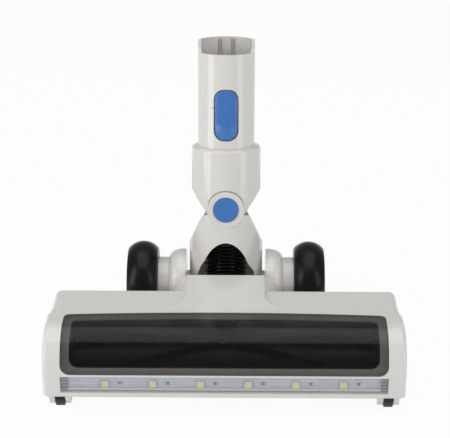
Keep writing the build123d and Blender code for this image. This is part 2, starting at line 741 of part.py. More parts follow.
def port(grow):
    # Arched opening of the suction port, in x and z
    wide = 2 * (PORT_HALF + grow)
    tall = PORT_HEIGHT + 2 * grow
    return Pos(0, HOSE_Z + PORT_RISE) * RectangleRounded(wide, tall, PORT_HEIGHT / 2 - PORT_FLAT + grow)


def suction_duct():
    # Funnel from the port to the lower hose cuff
    start = port_plane(DUCT_FRONT + SEAT_GAP)
    end = port_plane(HEAD_DEPTH - SHELL_T - CUFF_FLANGE)
    outer = loft([start * port(LINER_T), end * (Pos(0, HOSE_Z) * Circle(HOSE_BORE_R + LINER_T))])
    inner = loft([start * port(0), end * (Pos(0, HOSE_Z) * Circle(HOSE_BORE_R))])
    return outer - inner


def disc_y(radius, back0, back1):
    # A round bar along y on the hose's level
    bar = Cylinder(radius, back1 - back0, rotation=(90, 0, 0))
    return Pos(0, FRONT + (back0 + back1) / 2, HOSE_Z) * bar


def hose_cuff_lower():
    inner = HEAD_DEPTH - SHELL_T
    flange = inner - CUFF_FLANGE
    ring = disc_y(CUFF_R + CUFF_LIP, flange, inner - SEAT_GAP)
    ring = ring & block(-2 * CUFF_R, 2 * CUFF_R, FRONT, TILT_Y, FLOOR_Z + SEAT_GAP, 2 * HOSE_Z)
    ring = ring + disc_y(CUFF_R, flange + CUFF_FLANGE / 2, hose_start())
    return ring - disc_y(HOSE_BORE_R, flange - CUFF_FLANGE, hose_start() + CUFF_FLANGE)


def hose_start():
    return HEAD_DEPTH - SHELL_T - CUFF_FLANGE + CUFF_LONG


def hose_path():
    # Level out of the head, one bend, then up along the neck
    meet = TILT_Y + (HOSE_Z - TILT_Z) * math.tan(LEAN_RAD)
    turn = 90 - LEAN
    tangent = HOSE_BEND * math.tan(math.radians(turn / 2))
    first = Line((0, FRONT + hose_start(), HOSE_Z), (0, meet - tangent, HOSE_Z))
    centre = (meet - tangent, HOSE_Z + HOSE_BEND)
    bend = Plane.YZ * CenterArc(centre, HOSE_BEND, -90, turn)
    top_y = TILT_Y + HOSE_TOP_A * math.sin(LEAN_RAD)
    top_z = TILT_Z + HOSE_TOP_A * math.cos(LEAN_RAD)
    last = Line(bend @ 1, (0, top_y, top_z))
    return Wire([first.edge(), bend.edge(), last.edge()])


def flex_hose():
    # Ribbed hose: ring after ring along the path, ridges and roots in turn
    path = hose_path()
    rings = []
    for i in range(2 * HOSE_RIDGES + 1):
        at = path.location_at(i / (2 * HOSE_RIDGES))
        radius = HOSE_R if i % 2 else HOSE_ROOT_R
        rings.append(Plane(at) * Circle(radius))
    skin = loft(rings, ruled=True)
    bore = sweep(Plane(path.location_at(0)) * Circle(HOSE_BORE_R), path=path)
    return skin - bore


def brush_core():
    long = CHAMBER_HALF - BRUSH_PLAY
    core = rod(CORE_R, -long, long, BRUSH_Y, BRUSH_Z)
    for side in (-1, 1):
        core = core + rod(GUARD_R, side * long, side * (long - GUARD_T), BRUSH_Y, BRUSH_Z)
        reach = INNER_HALF - BRUSH_PLAY
        core = core + rod(SHAFT_R, side * (long - GUARD_T), side * reach, BRUSH_Y, BRUSH_Z)
    return core


def brush_bristles():
    # Rows of bristle that wind towards the middle from both ends
    half = CHAMBER_HALF - BRUSH_PLAY - GUARD_T - SEAT_GAP
    low = math.sqrt(CORE_R ** 2 - (BRISTLE_T / 2) ** 2) - BRISTLE_ROOT
    tip = math.sqrt(BRUSH_R ** 2 - (BRISTLE_T / 2) ** 2)
    face = Pos(0, (low + tip) / 2) * Rectangle(BRISTLE_T, tip - low)
    rows = []
    for i in range(BRISTLE_ROWS):
        start = Plane.YZ * (Rot(0, 0, i * 360 / BRISTLE_ROWS) * face)
        for side in (-1, 1):
            strip = Solid.extrude_linear_with_rotation(
                start.face(), (0, 0, 0), (side * half, 0, 0), side * BRISTLE_TWIST
            )
            rows.append(strip)
    rows = Part() + rows
    rows = rows - rod(CORE_R, -half - GUARD_T, half + GUARD_T, 0, 0)
    return Pos(0, BRUSH_Y, BRUSH_Z) * rows


def pulley(radius, hole, y, z):
    half = PULLEY_T / 2
    x = -PULLEY_X
    wheel = rod(radius, x - half, x + half, y, z)
    for side in (-1, 1):
        rim = rod(radius + FLANGE_RISE, x + side * half, x + side * (half - FLANGE_T), y, z)
        wheel = wheel + rim
    return wheel - rod(hole, x - PULLEY_T, x + PULLEY_T, y, z)


def brush_bush(side):
    x0 = side * (CHAMBER_HALF + BUSH_PLAY)
    x1 = side * (BULKHEAD_OUT - BUSH_PLAY)
    ring = rod(BUSH_R - PRESS_GAP, x0, x1, BRUSH_Y, BRUSH_Z)
    return ring - rod(SHAFT_R + RUN_GAP, x0 - side, x1 + side, BRUSH_Y, BRUSH_Z)


def belt_loop(grow):
    # Outline of the belt round both pulleys, in y and z
    one = Pos(BRUSH_Y, BRUSH_Z) * Circle(PULLEY_R + BELT_GAP + grow)
    two = Pos(MOTOR_Y, MOTOR_Z) * Circle(MOTOR_PULLEY_R + BELT_GAP + grow)
    return make_hull(one.edges() + two.edges())


def drive_belt():
    # Flat belt running between the flanges of both pulleys
    half = PULLEY_T / 2 - FLANGE_T - BELT_GAP
    start = Plane.YZ.offset(-PULLEY_X - half)
    return extrude(start * (belt_loop(BELT_T) - belt_loop(0)), amount=2 * half)


def motor_can():
    x0 = -CHAMBER_HALF
    x1 = x0 + MOTOR_LONG
    can = rod(MOTOR_R, x0, x1, MOTOR_Y, MOTOR_Z)
    can = fillet(can.edges(), MOTOR_EDGE)
    can = can + rod(MOTOR_BOSS_R, x0 - BULKHEAD_T + BELT_GAP, x0 + MOTOR_BOSS_T, MOTOR_Y, MOTOR_Z)
    can = can + rod(MOTOR_BOSS_R, x1 - MOTOR_BOSS_T, x1 + MOTOR_BOSS_T, MOTOR_Y, MOTOR_Z)
    return can - rod(MOTOR_SHAFT_R + RUN_GAP, x0 - 2 * BULKHEAD_T, x0 + MOTOR_LONG / 2, MOTOR_Y, MOTOR_Z)


def motor_shaft():
    x0 = -PULLEY_X - PULLEY_T / 2 - BELT_GAP
    x1 = -CHAMBER_HALF + MOTOR_LONG / 2 - BELT_GAP
    return rod(MOTOR_SHAFT_R, x0, x1, MOTOR_Y, MOTOR_Z)


def motor_screws():
    screws = []
    x = -BULKHEAD_OUT
    for step in (-MOTOR_SCREW_STEP, MOTOR_SCREW_STEP):
        y = MOTOR_Y + step
        head = rod(MOTOR_SCREW_HEAD_R, x - MOTOR_SCREW_HEAD_T, x - PRESS_GAP, y, MOTOR_Z)
        shank = rod(SCREW_R - PRESS_GAP, x - MOTOR_SCREW_HEAD_T / 2, -CHAMBER_HALF - PRESS_GAP, y, MOTOR_Z)
        screws.append(head + shank)
    return Compound(children=screws)


def castor(side):
    y = FRONT + CASTOR_BACK
    x0 = side * (CASTOR_X - CASTOR_WIDE / 2)
    x1 = side * (CASTOR_X + CASTOR_WIDE / 2)
    wheel = rod(CASTOR_R, x0, x1, y, CASTOR_R)
    wheel = fillet(wheel.edges(), CASTOR_EDGE)
    return wheel - rod(CASTOR_PIN_R + RUN_GAP, x0 - side, x1 + side, y, CASTOR_R)


def castor_pin(side):
    reach = CASTOR_WIDE / 2 + LUG_T
    x0 = side * (CASTOR_X - reach)
    x1 = side * (CASTOR_X + reach)
    return rod(CASTOR_PIN_R - PRESS_GAP, x0, x1, FRONT + CASTOR_BACK, CASTOR_R)


def at_axle(face):
    # A shape turned about the tilt axle, from a half section in x and radius
    return Pos(0, TILT_Y, TILT_Z) * revolve(Plane.XY * face, Axis.X)


def tyre():
    edge = WHEEL_R - TREAD_DROP
    tread = ThreePointArc((WHEEL_IN, edge), (WHEEL_X, WHEEL_R), (AXLE_OUT, edge))
    rest = Polyline(tread @ 1, (AXLE_OUT, HUB_R), (WHEEL_IN, HUB_R), tread @ 0)
    section = make_face(tread + rest)
    shoulders = section.vertices().sort_by(Axis.Y)[-2:]
    ring = at_axle(fillet(shoulders, TREAD_EDGE))
    groove = at_axle(Pos(AXLE_OUT, HUB_R + SIDEWALL_STEP) * Circle(SIDEWALL_GROOVE_R))
    return ring - groove


def hub():
    # Dished wheel centre with a raised boss round the cap's pocket
    bore = AXLE_R + RUN_GAP
    pocket = AXLE_CAP_R + FREE_GAP
    pocket_x = AXLE_OUT - AXLE_CAP_T - FREE_GAP
    boss_x = AXLE_OUT - HUB_DISH / 2
    outline = Polyline(
        (WHEEL_IN, bore),
        (WHEEL_IN, HUB_R),
        (AXLE_OUT, HUB_R),
        (AXLE_OUT, HUB_R - HUB_RIM),
        (AXLE_OUT - HUB_DISH, HUB_R - HUB_RIM - HUB_DISH / 2),
        (AXLE_OUT - HUB_DISH, AXLE_CAP_R + HUB_BOSS + HUB_DISH / 4),
        (boss_x, AXLE_CAP_R + HUB_BOSS),
        (boss_x, pocket),
        (pocket_x, pocket),
        (pocket_x, bore),
        close=True,
    )
    return at_axle(make_face(outline))


def axle():
    x1 = AXLE_OUT - AXLE_CAP_T + AXLE_CAP_SOCKET
    return rod(AXLE_R - PRESS_GAP, AXLE_IN, x1, TILT_Y, TILT_Z)


def axle_cap():
    x1 = AXLE_OUT - AXLE_CAP_T
    cap = rod(AXLE_CAP_R, x1, AXLE_OUT, TILT_Y, TILT_Z)
    outer = cap.edges().filter_by(GeomType.CIRCLE).sort_by(Axis.X)[-1]
    cap = fillet(outer, AXLE_CAP_EDGE)
    return cap - rod(AXLE_R, x1 - AXLE_CAP_T, x1 + AXLE_CAP_SOCKET + PRESS_GAP, TILT_Y, TILT_Z)


def front_prism(face, near, far):
    # A front view in x and height along the neck, extruded towards the front
    return extrude(Plane.XZ.offset(near) * face, amount=far - near)


def both_sides(part):
    # A piece in the front of the neck and its mirror image in the rear
    return part + rear_of(part)


def rear_of(part):
    return mirror(part, about=Plane.XZ)


def tube_between(radius, a0, a1):
    return Pos(0, 0, (a0 + a1) / 2) * Cylinder(radius, a1 - a0)


def pivot_disc(radius, near, far):
    return front_prism(Pos(0, PIVOT_A) * Circle(radius), near, far)


def collar_outline():
    ring = Pos(0, PIVOT_A) * Circle(COLLAR_EAR_R)
    head = Pos(0, TAPER_A + COLLAR_LONG / 2) * Rectangle(2 * COLLAR_R, COLLAR_LONG)
    return make_hull(ring.edges() + head.edges())


def collar():
    # Whole upper neck shell: round body that narrows to the swivel, with a sunk seat for the yoke's ears
    low = PIVOT_A - COLLAR_EAR_R - COLLAR_T
    lid = COLLAR_TOP_A - COLLAR_LID
    beyond = COLLAR_R + 2 * COLLAR_T
    full = tube_between(COLLAR_R, low, COLLAR_TOP_A)
    full = fillet(full.edges().sort_by(Axis.Z)[-1], COLLAR_ROUND)
    full = full & front_prism(collar_outline(), -beyond, beyond)
    shell = full - tube_between(COLLAR_R - COLLAR_T, low - COLLAR_T, lid)
    boss = pivot_disc(COLLAR_EAR_R + EAR_BACKING, EAR_FACE - EAR_T, beyond) & full
    recess = pivot_disc(COLLAR_EAR_R, EAR_FACE, beyond)
    hole = pivot_disc(PIN_R + RUN_GAP, 0, beyond)
    shell = shell + both_sides(boss)
    shell = shell - both_sides(recess) - both_sides(hole)
    throat_hole = tube_between(TUBE_R + PRESS_GAP, lid - COLLAR_LID, COLLAR_TOP_A + COLLAR_LID)
    return shell - throat_hole + collar_rib()


def collar_rib():
    # Rib inside the collar that traps the flange of the socket tube against the lid
    high = COLLAR_TOP_A - COLLAR_LID - FLANGE_WALL - RIB_GAP
    ring = tube_between(COLLAR_R - COLLAR_T / 2, high - RIB_T, high)
    return ring - tube_between(TUBE_R + SEAT_GAP, high - 2 * RIB_T, high + RIB_T)


def front_half(part):
    return part & neck_box(-2 * YOKE_R, 0)


def rear_half(part):
    return part & neck_box(0, 2 * YOKE_R)


def neck_box(y0, y1):
    return block(-2 * YOKE_R, 2 * YOKE_R, y0, y1, -2 * YOKE_R, 2 * MOUTH_A)


COLLAR_SCREWS = [(0.0, TAPER_A + COLLAR_SCREW_RISE)]
YOKE_SCREWS = [(-YOKE_SCREW_X, YOKE_SCREW_A), (YOKE_SCREW_X, YOKE_SCREW_A)]


def screw_pads(places, inner_r):
    # Thickened places behind the sunk screws
    pads = []
    for x, a in places:
        near = math.sqrt(inner_r ** 2 - x ** 2) - PAD_T
        pads.append(front_prism(Pos(x, a) * Circle(POST_R), near, inner_r + PAD_T / 3))
    return pads


def sunk_depth(x, outer_r):
    # Distance from the neck axis to the bottom of a screw's sunk hole
    return math.sqrt(outer_r ** 2 - (abs(x) + SCREW_HEAD_R) ** 2) - SCREW_HEAD_T


def with_screws(part, places, inner_r, outer_r):
    # The rear of a neck shell with pads and sunk holes for its screws
    for pad in screw_pads(places, inner_r):
        solid = pad & tube_between(outer_r - SEAT_GAP, -2 * YOKE_R, MOUTH_A)
        part = part + rear_of(solid)
    for x, a in places:
        seat = sunk_depth(x, outer_r)
        sink = front_prism(Pos(x, a) * Circle(SCREW_HEAD_R + SEAT_GAP), seat, outer_r + SCREW_HEAD_T)
        part = part - rear_of(sink)
    return part


def neck_screws(places, outer_r):
    screws = []
    for x, a in places:
        low = sunk_depth(x, outer_r) + PRESS_GAP
        high = low + SCREW_HEAD_T - FREE_GAP
        head = front_prism(Pos(x, a) * Circle(SCREW_HEAD_R), low, high)
        head = head - front_prism(Pos(x, a) * cross_slot(), high - SLOT_DEEP, high)
        screws.append(NECK * rear_of(head))
    return Compound(children=screws)


def wand_tube():
    # Socket for the wand: a ledge stops the wand, the front of the mouth is cut lower
    flange_top = COLLAR_TOP_A - COLLAR_LID - PRESS_GAP
    beyond = MOUTH_A + MOUTH_CUT
    tube = tube_between(TUBE_R, CUFF_TOP_A, MOUTH_A)
    tube = tube + tube_between(COLLAR_R - COLLAR_T - SEAT_GAP, flange_top - FLANGE_WALL, flange_top)
    tube = tube - tube_between(SOCKET_R, SEAT_A, beyond)
    tube = tube - tube_between(SEAT_R, CUFF_TOP_A - TUBE_T, SEAT_A + TUBE_T)
    wide = 2 * TUBE_R
    notch = block(-wide, wide, -wide, -MOUTH_CUT_FRONT, MOUTH_A - MOUTH_CUT, beyond)
    corner = notch.edges().filter_by(Axis.X).group_by(Axis.Z)[0].sort_by(Axis.Y)[-1]
    tube = tube - fillet(corner, MOUTH_CUT_ROUND)
    for x in (-GROOVE_X, GROOVE_X):
        half = GROOVE_WIDE / 2
        tube = tube - block(x - half, x + half, SOCKET_R / 2, groove_floor(), SEAT_A, beyond)
    slot = RectangleRounded(BUTTON_WIDE + 2 * FREE_GAP, BUTTON_LONG + 2 * FREE_GAP, BUTTON_CORNER + FREE_GAP)
    tube = tube - front_prism(Pos(0, BUTTON_A) * slot, SOCKET_R / 2, wide)
    pins = Cylinder(BUTTON_PIN_R + RUN_GAP, button_pin_long() + 2 * FREE_GAP, rotation=(0, 90, 0))
    half = SPRING_WIDE / 2 + SPRING_GAP
    deep = -SOCKET_R - SPRING_T - SPRING_GAP - RUN_GAP
    pocket = block(-half, half, deep, -SOCKET_R / 2, spring_foot(), BUTTON_A)
    return tube - Pos(0, -button_pin_depth(), BUTTON_PIN_A) * pins - pocket


def groove_floor():
    # Distance from the neck axis to the floor of the contact grooves
    return math.sqrt(SOCKET_R ** 2 - (GROOVE_X - GROOVE_WIDE / 2) ** 2) + GROOVE_DEEP


def spring_foot():
    return BUTTON_LOW_A - FREE_GAP - SPRING_TAIL


def button_pin_depth():
    # How far the button's pivot pins are in front of the neck axis
    inside = math.sqrt(BUTTON_IN_R ** 2 - (BUTTON_WIDE / 2) ** 2)
    return inside + BUTTON_PIN_R + BUSH_PLAY


def button_pin_long():
    return BUTTON_WIDE + 2 * FREE_GAP + 2 * BUTTON_PIN_BITE


def release_button():
    # Curved cap that fills the slot, on two small pins
    outer = TUBE_R + BUTTON_PROUD
    face = Pos(0, BUTTON_A) * RectangleRounded(BUTTON_WIDE, BUTTON_LONG, BUTTON_CORNER)
    low = BUTTON_LOW_A - BUTTON_CORNER
    high = BUTTON_LOW_A + BUTTON_LONG + BUTTON_CORNER
    shell = tube_between(outer, low, high) - tube_between(BUTTON_IN_R, low, high)
    cap = shell & front_prism(face, BUTTON_IN_R / 4, 2 * TUBE_R)
    skin = cap.faces().sort_by(Axis.Y)[0]
    cap = fillet(skin.edges(), BUTTON_EDGE)
    pins = Cylinder(BUTTON_PIN_R, button_pin_long(), rotation=(0, 90, 0))
    pins = Pos(0, -button_pin_depth(), BUTTON_PIN_A) * pins
    between = BUTTON_WIDE / 2 - BUTTON_PIN_BITE
    return cap + (pins - block(-between, between, -2 * TUBE_R, 0, SEAT_A, MOUTH_A))


def button_spring():
    y = -SOCKET_R - RUN_GAP
    half = SPRING_WIDE / 2
    return block(-half, half, y - SPRING_T, y, spring_foot() + SPRING_GAP, BUTTON_A - FREE_GAP)


def contact_strips():
    # Two flat contacts on the floors of the grooves
    strips = []
    half = GROOVE_WIDE / 2 - SEAT_GAP
    y1 = groove_floor() - PRESS_GAP
    low = SEAT_A + SEAT_GAP
    for x in (-GROOVE_X, GROOVE_X):
        strip = block(x - half, x + half, y1 - CONTACT_T, y1, low, low + CONTACT_LONG)
        strips.append(NECK * strip)
    return Compound(children=strips)


def hose_cuff_upper():
    wide = COLLAR_R - COLLAR_T - CUFF_INSET
    ring = tube_between(wide, HOSE_TOP_A, CUFF_TOP_A - PRESS_GAP)
    ring = ring + tube_between(SEAT_R - RUN_GAP, CUFF_TOP_A - CUFF_LONG / 2, CUFF_TOP_A + CUFF_PLUG)
    return ring - tube_between(HOSE_BORE_R, HOSE_TOP_A - CUFF_LONG, CUFF_TOP_A + 2 * CUFF_PLUG)


def yoke_outline():
    ring = Pos(0, PIVOT_A) * Circle(YOKE_EAR_R)
    tall = YOKE_SHOULDER_A + YOKE_R
    legs = Pos(0, YOKE_SHOULDER_A - tall / 2) * Rectangle(2 * YOKE_R, tall)
    return make_hull(ring.edges() + legs.edges())


def yoke_blank(beyond):
    # The outline cut through front and rear, dropping to the rear so that both edges line up from the front
    fall = math.tan(math.radians(YOKE_CUT_TILT))
    lift = (beyond - EAR_FACE) * fall
    near = Plane.XZ.offset(beyond) * Pos(0, lift) * yoke_outline()
    return extrude(near, amount=2 * beyond * math.hypot(1, fall), dir=(0, 1, -fall))


def waist_notch():
    # Corner that the collar sweeps through when it swivels, cut from the yoke beside its ear
    reach = COLLAR_EAR_R + SWIVEL_ROOM
    slope = math.tan(math.radians(SWIVEL / 2))
    wedge = Polyline((0, 0), (reach, -reach * slope), (reach, reach), (0, reach), close=True)
    side = make_face(wedge) & Circle(reach)
    both = side + mirror(side, about=Plane.YZ)
    return front_prism(Pos(0, PIVOT_A) * both, 0, 2 * YOKE_R)


def arch():
    # Opening in the front for the hose: a pointed arch on two straight legs
    foot = ARCH_TOP_A - ARCH_RISE
    left = [
        (-ARCH_HALF, foot),
        (-ARCH_SIDE_HALF, ARCH_TOP_A - ARCH_SIDE_DROP),
        (-ARCH_CROWN_HALF, ARCH_TOP_A - ARCH_CROWN_DROP),
    ]
    right = [(-x, a) for x, a in reversed(left)]
    curve = Spline(left + [(0, ARCH_TOP_A)] + right, tangents=((0, 1), (0, -1)))
    crown = make_face(curve + Line(curve @ 1, curve @ 0))
    tall = foot + 2 * YOKE_R
    legs = Pos(0, foot - tall / 2) * Rectangle(2 * ARCH_HALF, tall)
    return front_prism(crown + legs, -YOKE_BACK_WALL, 2 * YOKE_R)


def yoke():
    # Whole lower neck shell: a fork on the axles, arched open in front, with an ear disc on each face
    tall = YOKE_TOP_A + YOKE_T
    beyond = 2 * YOKE_R
    full = tube_between(YOKE_R, -YOKE_R, tall)
    full = full & yoke_blank(beyond)
    upright = Pos(0, tall / 2) * Rectangle(2 * YOKE_R, tall)
    full = full & across(make_hull(Circle(YOKE_R).edges() + upright.edges()), beyond)
    shell = full - tube_between(YOKE_IN_R, -beyond, tall + YOKE_T)
    shell = shell - both_sides(waist_notch())
    shell = shell - both_sides(pivot_disc(COLLAR_EAR_R + NECK_GAP, 0, YOKE_EAR_FACE))
    ear = pivot_disc(YOKE_EAR_R, YOKE_EAR_FACE, YOKE_EAR_OUT)
    hole = pivot_disc(PIN_R + PRESS_GAP, 0, beyond)
    hole = hole + pivot_disc(CAP_R + SEAT_GAP, YOKE_EAR_FACE + CAP_FLOOR, beyond)
    trunnion = Cylinder(TRUNNION_R, 2 * (THROAT_HALF - FREE_GAP), rotation=(0, 90, 0))
    trunnion = trunnion - block(-AXLE_IN, AXLE_IN, -beyond, beyond, -beyond, beyond)
    shell = shell + trunnion + both_sides(ear)
    shell = shell - both_sides(hole) - arch()
    shell = with_screws(shell, YOKE_SCREWS, YOKE_IN_R, YOKE_R)
    return shell - Cylinder(AXLE_R + RUN_GAP, 2 * beyond, rotation=(0, 90, 0))


def pivot_pin():
    low = EAR_FACE - EAR_T - PIN_END
    seat = YOKE_EAR_FACE + CAP_FLOOR
    pin = pivot_disc(PIN_R, low, seat + PIN_HEAD_T)
    return pin + pivot_disc(PIN_HEAD_R, seat + PRESS_GAP, seat + PIN_HEAD_T)


def pivot_cap():
    near = YOKE_EAR_FACE + CAP_FLOOR + PIN_HEAD_T + PRESS_GAP
    cap = pivot_disc(CAP_R, near, YOKE_EAR_OUT + CAP_PROUD)
    edge = cap.edges().filter_by(GeomType.CIRCLE).sort_by(Axis.Y)[0]
    return fillet(edge, CAP_EDGE)


save("top_housing", top_housing())
save("base_plate", base_plate())
save("window", window())
save("led_lens", led_lens())
save("led_board", led_board())
save("led_chips", led_chips())
save("led_resistors", led_resistors())
save("chamber_liner", chamber_liner())
save("suction_duct", suction_duct())
save("belt_cover", cover(-1, BELT_COVER_BACK))
save("bearing_cover", cover(1, BEARING_COVER_BACK))
save("base_screws", base_screws())
save("brush_core", brush_core())
save("brush_bristles", brush_bristles())
save("brush_pulley", pulley(PULLEY_R, SHAFT_R + PRESS_GAP, BRUSH_Y, BRUSH_Z))
save("brush_bush_left", brush_bush(-1))
save("brush_bush_right", brush_bush(1))
save("drive_belt", drive_belt())
save("motor_can", motor_can())
save("motor_shaft", motor_shaft())
save("motor_pulley", pulley(MOTOR_PULLEY_R, MOTOR_SHAFT_R + PRESS_GAP, MOTOR_Y, MOTOR_Z))
save("motor_screws", motor_screws())
save("castor_left", castor(-1))
save("castor_right", castor(1))
save("castor_pin_left", castor_pin(-1))
save("castor_pin_right", castor_pin(1))
save("tyre_right", tyre())
save("tyre_left", mirror(tyre(), about=Plane.YZ))
save("hub_right", hub())
save("hub_left", mirror(hub(), about=Plane.YZ))
save("axle_right", axle())
save("axle_left", mirror(axle(), about=Plane.YZ))
save("axle_cap_right", axle_cap())
save("axle_cap_left", mirror(axle_cap(), about=Plane.YZ))
save("hose_cuff_lower", hose_cuff_lower())
save("hose_cuff_upper", NECK * hose_cuff_upper())
save("flex_hose", flex_hose())
save("yoke_front", NECK * front_half(yoke()))
save("yoke_rear", NECK * rear_half(yoke()))
save("yoke_screws", neck_screws(YOKE_SCREWS, YOKE_R))
save("collar_front", NECK * front_half(collar()))
save("collar_rear", NECK * rear_half(with_screws(collar(), COLLAR_SCREWS, COLLAR_R - COLLAR_T, COLLAR_R)))
save("collar_screw", neck_screws(COLLAR_SCREWS, COLLAR_R))
save("pivot_pin_front", NECK * pivot_pin())
save("pivot_pin_rear", NECK * rear_of(pivot_pin()))
save("pivot_cap_front", NECK * pivot_cap())
save("pivot_cap_rear", NECK * rear_of(pivot_cap()))
save("wand_tube", NECK * wand_tube())
save("contact_strips", contact_strips())
save("release_button", NECK * release_button())
save("button_spring", NECK * button_spring())
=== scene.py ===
import json
import math

import bmesh
import bpy
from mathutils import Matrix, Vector

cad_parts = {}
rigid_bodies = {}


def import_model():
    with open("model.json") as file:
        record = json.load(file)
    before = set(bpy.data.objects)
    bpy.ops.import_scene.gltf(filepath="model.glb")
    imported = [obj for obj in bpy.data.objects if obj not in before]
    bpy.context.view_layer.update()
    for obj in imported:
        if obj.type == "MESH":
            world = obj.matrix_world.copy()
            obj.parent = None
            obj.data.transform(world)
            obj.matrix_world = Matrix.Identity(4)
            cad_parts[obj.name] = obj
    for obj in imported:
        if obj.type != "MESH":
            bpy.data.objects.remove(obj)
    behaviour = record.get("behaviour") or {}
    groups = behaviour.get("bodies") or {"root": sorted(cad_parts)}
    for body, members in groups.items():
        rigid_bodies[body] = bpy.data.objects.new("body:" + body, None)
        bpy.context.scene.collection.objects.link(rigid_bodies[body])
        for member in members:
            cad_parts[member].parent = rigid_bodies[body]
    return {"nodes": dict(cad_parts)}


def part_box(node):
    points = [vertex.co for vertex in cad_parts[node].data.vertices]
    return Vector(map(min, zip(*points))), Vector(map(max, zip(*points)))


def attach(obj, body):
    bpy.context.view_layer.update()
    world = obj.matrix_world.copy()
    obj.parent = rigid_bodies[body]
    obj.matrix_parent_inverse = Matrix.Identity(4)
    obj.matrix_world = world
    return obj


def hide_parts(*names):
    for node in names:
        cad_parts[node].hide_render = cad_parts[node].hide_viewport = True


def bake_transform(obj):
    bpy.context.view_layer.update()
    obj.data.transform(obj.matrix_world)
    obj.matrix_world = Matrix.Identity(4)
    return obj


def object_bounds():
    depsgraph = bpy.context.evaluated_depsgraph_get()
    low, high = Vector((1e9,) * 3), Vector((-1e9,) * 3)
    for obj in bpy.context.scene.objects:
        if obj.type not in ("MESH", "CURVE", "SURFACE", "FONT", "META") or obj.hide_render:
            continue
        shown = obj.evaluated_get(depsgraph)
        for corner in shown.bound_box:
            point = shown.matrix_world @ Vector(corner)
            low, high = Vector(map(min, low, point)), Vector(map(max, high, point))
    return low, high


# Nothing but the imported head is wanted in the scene, so what Blender opened with goes first.
for leftover in list(bpy.data.objects):
    bpy.data.objects.remove(leftover)
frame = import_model()
cad_low, cad_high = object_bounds()

# Camera: the photograph looks down on the front of the head from about a metre away, with a long lens,
# and holds the head in the middle of a frame 450 pixels wide.
CAMERA_AWAY = 0.941
CAMERA_HIGH = 0.565
CAMERA_DOWN = math.radians(26)
CAMERA_ROUND = math.radians(0.6)
CAMERA_LENS = 112.4
CAMERA_SENSOR = 36.0
CAMERA_SHIFT = -0.0011

camera_spot = (CAMERA_AWAY * math.sin(CAMERA_ROUND), -CAMERA_AWAY * math.cos(CAMERA_ROUND), CAMERA_HIGH)
bpy.ops.object.camera_add(location=camera_spot, rotation=(math.pi / 2 - CAMERA_DOWN, 0, CAMERA_ROUND))
photo_camera = bpy.context.object
photo_camera.data.lens = CAMERA_LENS
photo_camera.data.sensor_width = CAMERA_SENSOR
photo_camera.data.shift_x = CAMERA_SHIFT
bpy.context.scene.camera = photo_camera
bpy.context.scene.view_settings.view_transform = "Standard"

# Floor: a sheet of white paper under the head, wide enough to fill all but the flattest views from above.
# It is seen as white and still takes a soft shadow from the head.
FLOOR_SIDE = 80.0
FLOOR_PAPER = "#f4f4f4"
FLOOR_GLOW = 0.94


def linear(code):
    """The linear colour, with full alpha, of an sRGB hex code."""
    channels = [int(code[i:i + 2], 16) / 255 for i in (1, 3, 5)]
    return [c / 12.92 if c <= 0.04045 else ((c + 0.055) / 1.055) ** 2.4 for c in channels] + [1.0]


def add_node(tree, kind, sockets=None, **settings):
    """Adds a node to a tree; each socket takes a plain value, or the output that is linked to it."""
    made = tree.nodes.new("ShaderNode" + kind)
    for name, value in settings.items():
        setattr(made, name, value)
    for name, value in (sockets or {}).items():
        if isinstance(value, bpy.types.NodeSocket):
            tree.links.new(value, made.inputs[name])
        else:
            made.inputs[name].default_value = value
    return made


def bare_material(name):
    """A new material with an empty node tree."""
    material = bpy.data.materials.new(name)
    material.use_nodes = True
    material.node_tree.nodes.clear()
    return material


white_paper = bare_material("white_paper")
tree = white_paper.node_tree
paper = add_node(tree, "BsdfDiffuse", {"Color": linear(FLOOR_PAPER)})
glow = add_node(tree, "Emission", {"Color": linear("#ffffff"), "Strength": 1.0})
rays = add_node(tree, "LightPath")
looked_at = add_node(tree, "Math", {0: rays.outputs["Is Camera Ray"], 1: rays.outputs["Is Glossy Ray"]},
                     operation="MAXIMUM")
seen = add_node(tree, "Math", {0: looked_at.outputs[0], 1: rays.outputs["Is Transmission Ray"]},
                operation="MAXIMUM")
share = add_node(tree, "Math", {0: seen.outputs[0], 1: FLOOR_GLOW}, operation="MULTIPLY")
mix = add_node(tree, "MixShader", {0: share.outputs[0], 1: paper.outputs[0], 2: glow.outputs[0]})
add_node(tree, "OutputMaterial", {"Surface": mix.outputs[0]})

bpy.ops.object.select_all(action="DESELECT")
bpy.ops.mesh.primitive_plane_add(size=FLOOR_SIDE, location=(0, 0, cad_low.z))
studio_floor = bpy.context.object
studio_floor.name = "studio_floor"
studio_floor.data.materials.append(white_paper)

# Studio light: two tall strip softboxes stand on the floor to the left and right of the camera and draw
# the upright streaks on the neck. One panel above lights the decks, one behind the camera lights the front
# and isn't mirrored in the window, and a grey room fills the rest.
ROOM_TONE = "#d2d4d8"
ROOM_LEVEL = 0.42
STRIP_AWAY = 0.75
STRIP_HIGH = 0.9
STRIPS = [
    # name, angle from the camera's side, width, watts
    ("strip_left", -67, 0.36, 2.7),
    ("strip_right", 61, 0.28, 1.4),
]
PANELS = [
    # name, place, width, height, watts, mirrored
    ("panel_above", (0.0, 0.15, 1.35), 1.3, 1.3, 7.2, True),
    ("panel_front", (0.0, -1.5, 0.64), 1.8, 0.45, 5.0, False),
]


def add_softbox(name, place, aim, wide, tall, watts, mirrored):
    """A soft light of a given size that the camera doesn't see, and gloss only if it is mirrored."""
    bpy.ops.object.light_add(type="AREA", location=place, rotation=aim.to_euler())
    softbox = bpy.context.object
    softbox.name = name
    softbox.visible_camera = False
    softbox.visible_glossy = mirrored
    softbox.data.shape = "RECTANGLE"
    softbox.data.size = wide
    softbox.data.size_y = tall
    softbox.data.energy = watts


